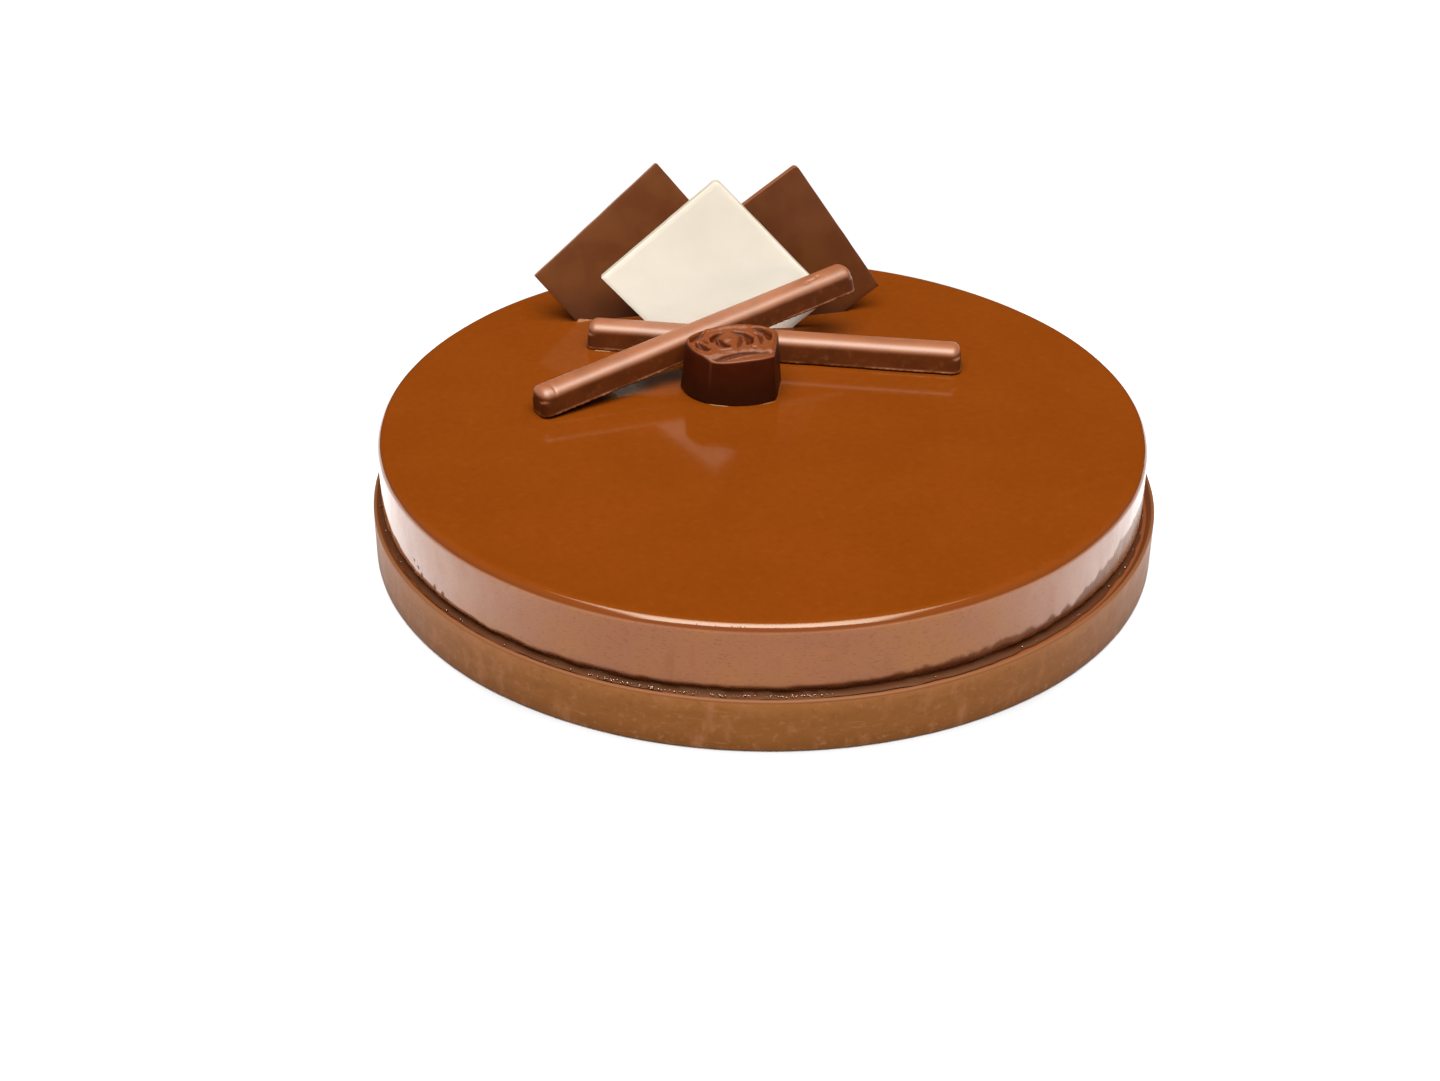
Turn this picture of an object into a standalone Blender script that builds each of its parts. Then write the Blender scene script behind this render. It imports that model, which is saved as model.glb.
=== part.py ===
"""Round chocolate entremet: a chocolate base disc, a glazed mousse body, three
square chocolate plates stood in it, two moulded chocolate sticks and a praline.

Units are metres, +Z is up, and the origin is the centre of the underside.
"""

import math

import bmesh
import bpy
from mathutils import Euler, Matrix, Vector

MM = 0.001

# Driving dimensions of the cake
TOUCH_GAP = 0.3 * MM
ROUND_STEPS = 128
BASE_RADIUS = 125.0 * MM
BASE_HEIGHT = 17.2 * MM
BASE_FOOT_RADIUS = 0.8 * MM
RIM_ROUND = 0.6 * MM
RIM_WIDTH = 1.0 * MM
LEDGE_DROP = 1.6 * MM
LEDGE_WIDTH = 1.5 * MM
MOUSSE_RADIUS = 121.5 * MM
MOUSSE_OFFSET = -0.6 * MM
CAKE_HEIGHT = 40.0 * MM
GLAZE_EDGE_ROUND = 3.0 * MM
GLAZE_FOOT_WIDTH = 0.6 * MM
GLAZE_FOOT_HEIGHT = 1.4 * MM

# Chocolate plates: width, height, centre, then heading, lean back and spin in degrees
PLATE_THICKNESS = 2.4 * MM
PLATE_EDGE_ROUND = 0.25 * MM
PLATE_FOOT_HEIGHT = 27.0 * MM
PLATES = {
    "milk_plate_left": ((56.5, 56.3), (-38.4, 78.2, 51.4), (12.5, 17.3, 37.9)),
    "milk_plate_right": ((54.1, 53.9), (4.4, 73.6, 56.1), (14.4, 6.8, 32.7)),
    "white_plate": ((51.8, 58.2), (-15.5, 63.5, 55.7), (3.4, -0.4, 41.6)),
}

# Moulded sticks: length, centre of the underside, then heading and pitch in degrees
STICK_WIDTH = 10.0 * MM
STICK_HEIGHT = 8.8 * MM
STICK_DRAFT = 0.5 * MM
STICK_CORNER_ROUND = 2.6 * MM
STICK_LEAST_CORNER = 0.4 * MM
STICK_TOP_ROUND = 2.3 * MM
STICKS = {
    "stick_flat": (125.2, (3.6, 42.2, 40.3), (-8.5, 0.0)),
    "stick_leaning": (120.8, (-21.1, 32.1, 48.1), (32.1, 7.35)),
}

# Praline: sizes in its own frame, with the middle of its front edge as origin
PRALINE_PLACE = (-6.8 * MM, 8.8 * MM)
PRALINE_HEADING = math.radians(5.6)
PRALINE_HEIGHT = 16.2 * MM
PRALINE_BACK_RISE = 1.3 * MM
PRALINE_FLARE = 1.1
PRALINE_LIP_ROUND = 0.8 * MM
FRONT_HALF_WIDTH = 10.2 * MM
FRONT_BULGE = 2.5 * MM
SHOULDER_LEFT = (-17.2 * MM, 11.0 * MM)
SHOULDER_RIGHT = (13.0 * MM, 13.4 * MM)
BACK_DEPTH = 7.2 * MM
ROSETTE_CENTRE = (-3.6 * MM, 10.6 * MM)
ROSETTE_PITCH = 4.4 * MM
ROSETTE_RELIEF = 1.3 * MM
ROSETTE_RINGS = 13
ROSETTE_REACH = 0.94
ROSETTE_FADE = 4.0

# Colours as 8-bit screen values, then roughness
FINISHES = {
    "milk_chocolate_band": ((147, 92, 52), 0.55),
    "chocolate_glaze": ((120, 58, 18), 0.06),
    "milk_chocolate": ((112, 62, 38), 0.32),
    "white_chocolate": ((240, 230, 212), 0.38),
    "moulded_chocolate": ((150, 92, 62), 0.3),
    "dark_chocolate": ((62, 26, 12), 0.3),
}


def remove_all_objects():
    for obj in list(bpy.data.objects):
        bpy.data.objects.remove(obj, do_unlink=True)


def screen_to_linear(value):
    value /= 255.0
    if value <= 0.04045:
        return value / 12.92
    return ((value + 0.055) / 1.055) ** 2.4


def make_material(name):
    colour, roughness = FINISHES[name]
    material = bpy.data.materials.new(name)
    material.use_nodes = True
    shader = material.node_tree.nodes["Principled BSDF"]
    shader.inputs["Base Color"].default_value = (*[screen_to_linear(v) for v in colour], 1.0)
    shader.inputs["Roughness"].default_value = roughness
    shader.inputs["Metallic"].default_value = 0.0
    return material


def make_object(name, bm, material, smooth_below=35.0):
    """Turn a bmesh into an object, with edges sharper than smooth_below kept sharp."""
    bmesh.ops.recalc_face_normals(bm, faces=bm.faces[:])
    mesh = bpy.data.meshes.new(name)
    bm.to_mesh(mesh)
    bm.free()
    mesh.shade_smooth()
    mesh.set_sharp_from_angle(angle=math.radians(smooth_below))
    mesh.materials.append(material)
    obj = bpy.data.objects.new(name, mesh)
    bpy.context.collection.objects.link(obj)
    return obj


def arc(centre, radius, start, end, steps):
    """Points of an arc in a plane, from start to end in degrees, both included."""
    points = []
    for i in range(steps + 1):
        angle = math.radians(start + (end - start) * i / steps)
        points.append((centre[0] + radius * math.cos(angle), centre[1] + radius * math.sin(angle)))
    return points


def lathe(profile):
    """Spin a (radius, height) profile that starts and ends on the axis round Z."""
    bm = bmesh.new()
    verts = [bm.verts.new((r, 0.0, z)) for r, z in profile]
    edges = [bm.edges.new(pair) for pair in zip(verts, verts[1:])]
    bmesh.ops.spin(bm, geom=verts + edges, cent=(0, 0, 0), axis=(0, 0, 1), angle=2 * math.pi,
                   steps=ROUND_STEPS, use_merge=True)
    bmesh.ops.remove_doubles(bm, verts=bm.verts[:], dist=0.001 * MM)
    return bm


def loft(loops):
    """Bridge equal closed loops of points, first to last, and fill both ends."""
    bm = bmesh.new()
    rings = [[bm.verts.new(point) for point in loop] for loop in loops]
    count = len(rings[0])
    for lower, upper in zip(rings, rings[1:]):
        for i in range(count):
            j = (i + 1) % count
            bm.faces.new((lower[i], lower[j], upper[j], upper[i]))
    bm.faces.new(list(reversed(rings[0])))
    bm.faces.new(rings[-1])
    return bm


def build_base_disc():
    """The milk chocolate disc, with a rim line and a ledge that slopes in to the glaze."""
    floor = BASE_HEIGHT - LEDGE_DROP
    rim_inner = BASE_RADIUS - RIM_WIDTH
    profile = [(0.0, 0.0)]
    profile += arc((BASE_RADIUS - BASE_FOOT_RADIUS, BASE_FOOT_RADIUS), BASE_FOOT_RADIUS, -90, 0, 3)
    profile += arc((BASE_RADIUS - RIM_ROUND, BASE_HEIGHT - RIM_ROUND), RIM_ROUND, 0, 90, 4)
    profile += [(rim_inner, BASE_HEIGHT), (rim_inner - LEDGE_WIDTH, floor), (0.0, floor)]
    return make_object("base_disc", lathe(profile), make_material("milk_chocolate_band"))


def build_glazed_mousse():
    """The glazed mousse body, set a little off centre, with a foot of pooled glaze."""
    bottom = BASE_HEIGHT - LEDGE_DROP + TOUCH_GAP
    foot = MOUSSE_RADIUS + GLAZE_FOOT_WIDTH
    profile = [(0.0, bottom), (foot - GLAZE_FOOT_WIDTH / 2, bottom), (foot, bottom + TOUCH_GAP)]
    profile.append((MOUSSE_RADIUS + GLAZE_FOOT_WIDTH / 4, bottom + GLAZE_FOOT_HEIGHT / 2))
    profile.append((MOUSSE_RADIUS, bottom + GLAZE_FOOT_HEIGHT))
    edge_centre = (MOUSSE_RADIUS - GLAZE_EDGE_ROUND, CAKE_HEIGHT - GLAZE_EDGE_ROUND)
    profile += arc(edge_centre, GLAZE_EDGE_ROUND, 0, 90, 8)
    profile.append((0.0, CAKE_HEIGHT))
    mousse = make_object("glazed_mousse", lathe(profile), make_material("chocolate_glaze"))
    mousse.location.x = MOUSSE_OFFSET
    return mousse


def plate_turn(heading, lean, spin):
    """Rotation of a plate whose front face looks along -Y before it is turned."""
    turn = Matrix.Rotation(math.radians(heading), 3, "Z")
    turn = turn @ Matrix.Rotation(math.radians(-lean), 3, "X")
    return turn @ Matrix.Rotation(math.radians(-spin), 3, "Y")


def plate_bmesh(size, centre, turn, grow):
    """A square plate in its own frame, its lowest corner cut level inside the cake."""
    half_width = size[0] * MM / 2 + grow
    half_height = size[1] * MM / 2 + grow
    half_thickness = PLATE_THICKNESS / 2 + grow
    foot = PLATE_FOOT_HEIGHT - grow

    def point(x, z):
        return Vector((x, 0.0, z))

    def level(p):
        return centre.z + (turn @ p).z

    def cut(above, below):
        share = (level(above) - foot) / (level(above) - level(below))
        return above.lerp(below, share)

    top = point(half_width, half_height)
    right = point(half_width, -half_height)
    bottom = point(-half_width, -half_height)
    left = point(-half_width, half_height)
    outline = [top, right, cut(right, bottom), cut(left, bottom), left]
    front = [p + Vector((0, -half_thickness, 0)) for p in outline]
    back = [p + Vector((0, half_thickness, 0)) for p in outline]
    return loft([front, back])


def place(obj, centre, turn):
    """Put an object that was built in its own frame where it stands in the cake."""
    obj.location = centre
    obj.rotation_euler = turn.to_euler()


def build_plate(name, material, mousse):
    """A chocolate plate, and the slot that its foot stands in."""
    size, centre, angles = PLATES[name]
    centre = Vector(centre) * MM
    turn = plate_turn(*angles)
    plate = make_object(name, plate_bmesh(size, centre, turn, 0.0), material)
    place(plate, centre, turn)
    bevel = plate.modifiers.new("edge", "BEVEL")
    bevel.width = PLATE_EDGE_ROUND
    bevel.segments = 2

    slot = make_object(name + "_slot", plate_bmesh(size, centre, turn, TOUCH_GAP), material)
    place(slot, centre, turn)
    slot.hide_render = True
    slot.display_type = "WIRE"
    boolean = mousse.modifiers.new(name + "_slot", "BOOLEAN")
    boolean.operation = "DIFFERENCE"
    boolean.object = slot
    return plate


def rounded_rectangle(length, width, radius, height):
    """A closed loop of points, with each corner an arc."""
    points = []
    for x_side, y_side, start in ((1, 1, 0), (-1, 1, 90), (-1, -1, 180), (1, -1, 270)):
        centre = (x_side * (length / 2 - radius), y_side * (width / 2 - radius))
        points += [(x, y, height) for x, y in arc(centre, radius, start, start + 90, 4)]
    return points


def build_stick(name, material):
    """A moulded stick, flat below, with tapered sides and a round top edge."""
    length, centre, (heading, pitch) = STICKS[name]
    length *= MM

    def loop(inset, height):
        radius = max(STICK_CORNER_ROUND - inset, STICK_LEAST_CORNER)
        return rounded_rectangle(length - 2 * inset, STICK_WIDTH - 2 * inset, radius, height)

    side_height = STICK_HEIGHT - STICK_TOP_ROUND
    loops = [loop(0.0, 0.0)]
    for angle_x, angle_z in arc((0.0, 0.0), 1.0, 0, 90, 5):
        inset = STICK_DRAFT + STICK_TOP_ROUND * (1.0 - angle_x)
        loops.append(loop(inset, side_height + STICK_TOP_ROUND * angle_z))
    stick = make_object(name, loft(loops), material)
    stick.location = Vector(centre) * MM
    stick.rotation_euler = Euler((0.0, -math.radians(pitch), math.radians(heading)), "XYZ")
    return stick


def praline_outline():
    """The outline of the praline's top: a bulging front, flared sides and a domed back."""
    points = []
    front_radius = (FRONT_HALF_WIDTH ** 2 + FRONT_BULGE ** 2) / (2 * FRONT_BULGE)
    half_angle = math.degrees(math.asin(FRONT_HALF_WIDTH / front_radius))
    front_centre = (0.0, front_radius - FRONT_BULGE)
    points += arc(front_centre, front_radius, 270 - half_angle, 270 + half_angle, 12)

    def side(start, end, steps):
        for i in range(1, steps):
            share = i / steps
            points.append(tuple(a + (b - a) * share for a, b in zip(start, end)))

    side((FRONT_HALF_WIDTH, 0.0), SHOULDER_RIGHT, 6)
    middle = [(a + b) / 2 for a, b in zip(SHOULDER_LEFT, SHOULDER_RIGHT)]
    half = [(b - a) / 2 for a, b in zip(SHOULDER_LEFT, SHOULDER_RIGHT)]
    for across, rise in arc((0.0, 0.0), 1.0, 0, 180, 24):
        x = middle[0] + half[0] * across
        y = middle[1] + half[1] * across + BACK_DEPTH * rise
        points.append((x, y))
    side(SHOULDER_LEFT, (-FRONT_HALF_WIDTH, 0.0), 6)
    return points


def rosette_height(x, y, rim_share):
    """Relief of the praline's top: a spiral of petals that fades out towards the rim."""
    dx = x - ROSETTE_CENTRE[0]
    dy = y - ROSETTE_CENTRE[1]
    turns = math.hypot(dx, dy) / ROSETTE_PITCH + math.atan2(dy, dx) / (2 * math.pi)
    petal = turns - math.floor(turns)
    ridge = math.sin(math.pi * petal) ** 2
    inside = min(1.0, (1.0 - rim_share) * ROSETTE_FADE)
    return ROSETTE_RELIEF * (ridge - 0.5) * inside


def build_praline(material):
    """The praline: a flared foot, a round lip, and a top that rises to the back."""
    outline = praline_outline()
    centre = ROSETTE_CENTRE

    def loop(share, inset, height, relief=False):
        points = []
        for x, y in outline:
            dx = x - centre[0]
            dy = y - centre[1]
            scale = share - inset / math.hypot(dx, dy)
            px = centre[0] + dx * scale
            py = centre[1] + dy * scale
            z = height + PRALINE_BACK_RISE * max(py, 0.0) / SHOULDER_RIGHT[1]
            if relief:
                z += rosette_height(px, py, share)
            points.append((px, py, z))
        return points

    foot = [(x * PRALINE_FLARE, y * PRALINE_FLARE, 0.0) for x, y in outline]
    rim_height = PRALINE_HEIGHT - PRALINE_LIP_ROUND
    loops = [foot]
    for across, rise in arc((0.0, 0.0), 1.0, 0, 90, 3):
        inset = PRALINE_LIP_ROUND * (1.0 - across)
        loops.append(loop(1.0, inset, rim_height + PRALINE_LIP_ROUND * rise))
    for ring in range(1, ROSETTE_RINGS):
        share = ROSETTE_REACH * (1.0 - ring / ROSETTE_RINGS)
        loops.append(loop(share, 0.0, PRALINE_HEIGHT, relief=True))
    praline = make_object("praline", loft(loops), material)
    praline.location = (*PRALINE_PLACE, CAKE_HEIGHT + TOUCH_GAP)
    praline.rotation_euler = (0.0, 0.0, PRALINE_HEADING)
    return praline


def main():
    remove_all_objects()
    build_base_disc()
    mousse = build_glazed_mousse()
    milk = make_material("milk_chocolate")
    white = make_material("white_chocolate")
    moulded = make_material("moulded_chocolate")
    build_plate("milk_plate_left", milk, mousse)
    build_plate("milk_plate_right", milk, mousse)
    build_plate("white_plate", white, mousse)
    build_stick("stick_flat", moulded)
    build_stick("stick_leaning", moulded)
    build_praline(make_material("dark_chocolate"))


main()
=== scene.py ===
"""A round chocolate entremet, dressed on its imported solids.

A milk chocolate base disc carries a mousse body under a mirror glaze. Three square
chocolate plates stand in the glaze, two moulded sticks cross in front of them, and a
moulded praline sits before the crossing. Metres, +Z up, with the origin at the centre
of the underside.
"""

import logging
import math
import random
from abc import ABC, abstractmethod
from collections.abc import Callable, Iterator, Sequence
from contextlib import contextmanager
from dataclasses import dataclass, replace
from enum import Enum
from itertools import pairwise
from typing import Any, Union

import bmesh
import bpy
from mathutils import Matrix, Vector, noise


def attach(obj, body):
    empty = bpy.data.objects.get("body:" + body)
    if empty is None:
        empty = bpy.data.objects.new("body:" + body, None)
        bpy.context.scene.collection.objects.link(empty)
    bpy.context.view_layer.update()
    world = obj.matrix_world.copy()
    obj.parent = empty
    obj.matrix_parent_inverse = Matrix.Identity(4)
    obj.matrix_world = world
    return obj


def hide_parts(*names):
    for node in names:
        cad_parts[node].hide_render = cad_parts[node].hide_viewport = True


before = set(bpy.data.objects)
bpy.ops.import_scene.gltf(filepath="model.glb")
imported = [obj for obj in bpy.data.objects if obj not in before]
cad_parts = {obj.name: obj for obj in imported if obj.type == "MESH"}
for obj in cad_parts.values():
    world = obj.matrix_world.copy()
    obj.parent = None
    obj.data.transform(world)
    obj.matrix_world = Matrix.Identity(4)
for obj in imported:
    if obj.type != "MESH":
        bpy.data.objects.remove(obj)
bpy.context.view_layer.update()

MM = 0.001
BODY = "root"
LOG = logging.getLogger("entremet")

# Sizes that shapes and finishes share, in millimetres.
DISC_RADIUS = 125.0
DISC_HEIGHT = 17.2
GLAZE_RADIUS = 121.5
GLAZE_OFFSET = -0.6

Point = tuple[float, float]
Point3 = tuple[float, float, float]
Colour = tuple[float, float, float, float]
Piece = bpy.types.Object
Number = Union["Signal", float]


class Slot(Enum):
    """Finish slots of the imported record."""

    BAND = "milk_chocolate_band"
    GLAZE = "chocolate_glaze"
    MILK = "milk_chocolate"
    WHITE = "white_chocolate"
    MOULDED = "moulded_chocolate"
    DARK = "dark_chocolate"


def linear(red: float, green: float, blue: float) -> Colour:
    """A colour for a shader.

    Args:
        red: Red as an 8-bit screen value.
        green: Green as an 8-bit screen value.
        blue: Blue as an 8-bit screen value.

    Returns:
        The same colour in linear light, opaque.
    """
    channels = []
    for value in (red, green, blue):
        share = value / 255.0
        low = share / 12.92
        high = ((share + 0.055) / 1.055) ** 2.4
        channels.append(low if share <= 0.04045 else high)
    return (*channels, 1.0)


def ripple(place: Vector, span: float, seed: float = 0.0) -> float:
    """Smooth noise from about -1 to 1, with humps a span apart, shifted by a seed."""
    return noise.noise(place / span + Vector((seed, 1.7 * seed, 0.6 * seed)))


def ramp(value: float, low: float, high: float) -> float:
    """A smooth step from 0 at low to 1 at high, which may lie below low."""
    share = min(1.0, max(0.0, (value - low) / (high - low)))
    return share * share * (3.0 - 2.0 * share)


def arc(centre: Point, radius: float, start: float, end: float, steps: int) -> list[Point]:
    """Points of an arc in a plane.

    Args:
        centre: The arc's centre.
        radius: Its radius.
        start: Angle of the first point in degrees.
        end: Angle of the last point in degrees.
        steps: Number of stretches between them.

    Returns:
        The points, both ends included.
    """
    points = []
    for step in range(steps + 1):
        angle = math.radians(start + (end - start) * step / steps)
        across = radius * math.cos(angle)
        points.append((centre[0] + across, centre[1] + radius * math.sin(angle)))
    return points


def stretch(start: Point, end: Point, steps: int) -> list[Point]:
    """The points inside a line that is cut into equal steps."""
    shares = [step / steps for step in range(1, steps)]
    return [tuple(a + (b - a) * share for a, b in zip(start, end)) for share in shares]


def metres(*lengths: float) -> tuple[float, ...]:
    """Millimetres as metres."""
    return tuple(value * MM for value in lengths)


def outward(place: Vector) -> Vector:
    """The level direction from the axis to a place, or none on the axis."""
    return Vector((place.x, place.y, 0.0)).normalized()


@dataclass(frozen=True)
class Signal:
    """A value in a node tree, on which Python's operators add Math nodes."""

    graph: "Graph"
    socket: bpy.types.NodeSocket

    def _math(self, operation: str, *values: Number) -> "Signal":
        """The result of one Math node."""
        return self.graph.node("ShaderNodeMath", dict(enumerate(values)), operation=operation)

    def __add__(self, other: Number) -> "Signal":
        """Self plus other."""
        return self._math("ADD", self, other)

    def __radd__(self, other: Number) -> "Signal":
        """Other plus self."""
        return self._math("ADD", other, self)

    def __sub__(self, other: Number) -> "Signal":
        """Self minus other."""
        return self._math("SUBTRACT", self, other)

    def __rsub__(self, other: Number) -> "Signal":
        """Other minus self."""
        return self._math("SUBTRACT", other, self)

    def __mul__(self, other: Number) -> "Signal":
        """Self times other."""
        return self._math("MULTIPLY", self, other)

    def __pow__(self, other: Number) -> "Signal":
        """Self to the power of other."""
        return self._math("POWER", self, other)

    def root(self) -> "Signal":
        """The square root."""
        return self._math("SQRT", self)

    def other(self, output: str | int) -> "Signal":
        """Another output of the same node."""
        return Signal(self.graph, self.socket.node.outputs[output])

    def step(self, low: float, high: float) -> "Signal":
        """A smooth step from 0 at low to 1 at high, which may lie below low."""
        inputs = {"Value": self, "From Min": low, "From Max": high}
        return self.graph.node("ShaderNodeMapRange", inputs, interpolation_type="SMOOTHSTEP")


class Graph:
    """The nodes of one material or of the world."""

    def __init__(self, tree: bpy.types.NodeTree, space: str) -> None:
        """Start with the coordinates that other nodes read.

        Args:
            tree: The tree that nodes are added to.
            space: Which coordinates.
        """
        self.tree = tree
        self.place = self.node("ShaderNodeTexCoord", output=space)
        self.x, self.y, self.z = self.axes(self.place)

    def node(
        self,
        kind: str,
        inputs: dict[str | int, Any] | None = None,
        output: str | int = 0,
        **settings: Any,
    ) -> Signal:
        """Any node.

        Args:
            kind: The node's type.
            inputs: Values or signals for its sockets, by name or number.
            output: Which of its outputs is wanted.
            settings: Its own settings, which are set first.

        Returns:
            That output.
        """
        node = self.tree.nodes.new(kind)
        for name, value in settings.items():
            setattr(node, name, value)
        self.feed(node, inputs or {})
        return Signal(self, node.outputs[output])

    def feed(self, node: bpy.types.Node, inputs: dict[str | int, Any]) -> None:
        """Link signals to a node's sockets and set the others' values.

        Args:
            node: The node.
            inputs: Values or signals, by name or number of the socket.
        """
        for name, value in inputs.items():
            if isinstance(value, Signal):
                self.tree.links.new(value.socket, node.inputs[name])
            else:
                node.inputs[name].default_value = value

    def axes(self, vector: Signal) -> list[Signal]:
        """A vector's three parts."""
        first = self.node("ShaderNodeSeparateXYZ", {0: vector})
        return [first.other(axis) for axis in range(3)]

    def blend(self, share: Number, first: Colour | Signal, second: Colour | Signal) -> Signal:
        """A mix of two colours, with this share of the second."""
        inputs = {0: share, 6: first, 7: second}
        return self.node("ShaderNodeMix", inputs, output=2, data_type="RGBA")


class Paint(Graph):
    """The nodes of one material round its Principled shader."""

    def __init__(self, name: str) -> None:
        """Start a material.

        Args:
            name: The material's name.
        """
        self.material = bpy.data.materials.new(name)
        self.material.use_nodes = True
        super().__init__(self.material.node_tree, "Object")

    def cloud(
        self,
        span: float,
        detail: float = 3.0,
        rough: float = 0.5,
        squash: float = 1.0,
        shift: float = 0.0,
    ) -> Signal:
        """Cloudy noise in space.

        Args:
            span: Distance from one hump to the next.
            detail: Number of finer layers.
            rough: How strong the finer layers are.
            squash: Times that the pattern is finer along Z.
            shift: Moves the pattern, so that two clouds differ.

        Returns:
            A value round 0.5.
        """
        scale = 1.0 / span
        inputs = {"Location": (shift, shift, shift), "Scale": (scale, scale, scale * squash)}
        place = self.node("ShaderNodeMapping", {"Vector": self.place, **inputs})
        inputs = {"Scale": 1.0, "Detail": detail, "Roughness": rough}
        return self.node("ShaderNodeTexNoise", {"Vector": place, **inputs})

    def dots(self, span: float, size: float, keep: float) -> Signal:
        """Small soft dots at random places.

        Args:
            span: Usual distance from one dot to the next.
            size: Radius of a dot.
            keep: Share of the dots that shows.

        Returns:
            1 in the middle of a dot and 0 away from it.
        """
        inputs = {"Vector": self.place, "Scale": 1.0 / span}
        cells = self.node("ShaderNodeTexVoronoi", inputs, "Distance")
        tone = self.node("ShaderNodeSeparateColor", {0: cells.other("Color")})
        return cells.step(size / span, 0.3 * size / span) * tone.step(keep + 0.02, keep - 0.02)

    def away(self, place: Sequence[float]) -> Signal:
        """Distance from a place in the object's own frame."""
        sides = zip((self.x, self.y, self.z), place)
        return sum(((axis - value) ** 2 for axis, value in sides), 0.0).root()

    def near(self, place: Sequence[float], reach: float, core: float) -> Signal:
        """How near a place is: 1 within its core and 0 beyond its reach."""
        return self.away(place).step(reach, core)

    def layers(
        self, colour: Colour | Signal, *covers: tuple[Number, Colour | Signal]
    ) -> Signal:
        """Lay colours over one another.

        Args:
            colour: The colour below.
            covers: Share and colour of each layer on it, from below.

        Returns:
            The colour on top.
        """
        for share, cover in covers:
            colour = self.blend(share, colour, cover)
        return colour

    def relief(self, *bumps: tuple[Signal, float]) -> Signal:
        """Fine relief, each part laid on the one before.

        Args:
            bumps: Heights from 0 to 1, with the distance that a height of 1 stands out.

        Returns:
            The bent normal.
        """
        inputs: dict[str, Any] = {}
        for height, depth in bumps:
            inputs |= {"Height": height, "Distance": depth}
            inputs["Normal"] = self.node("ShaderNodeBump", inputs)
        return inputs["Normal"]

    def finish(self, inputs: dict[str, Any]) -> bpy.types.Material:
        """Feed the shader and hand over the material."""
        self.feed(self.tree.nodes["Principled BSDF"], inputs)
        return self.material


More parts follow.
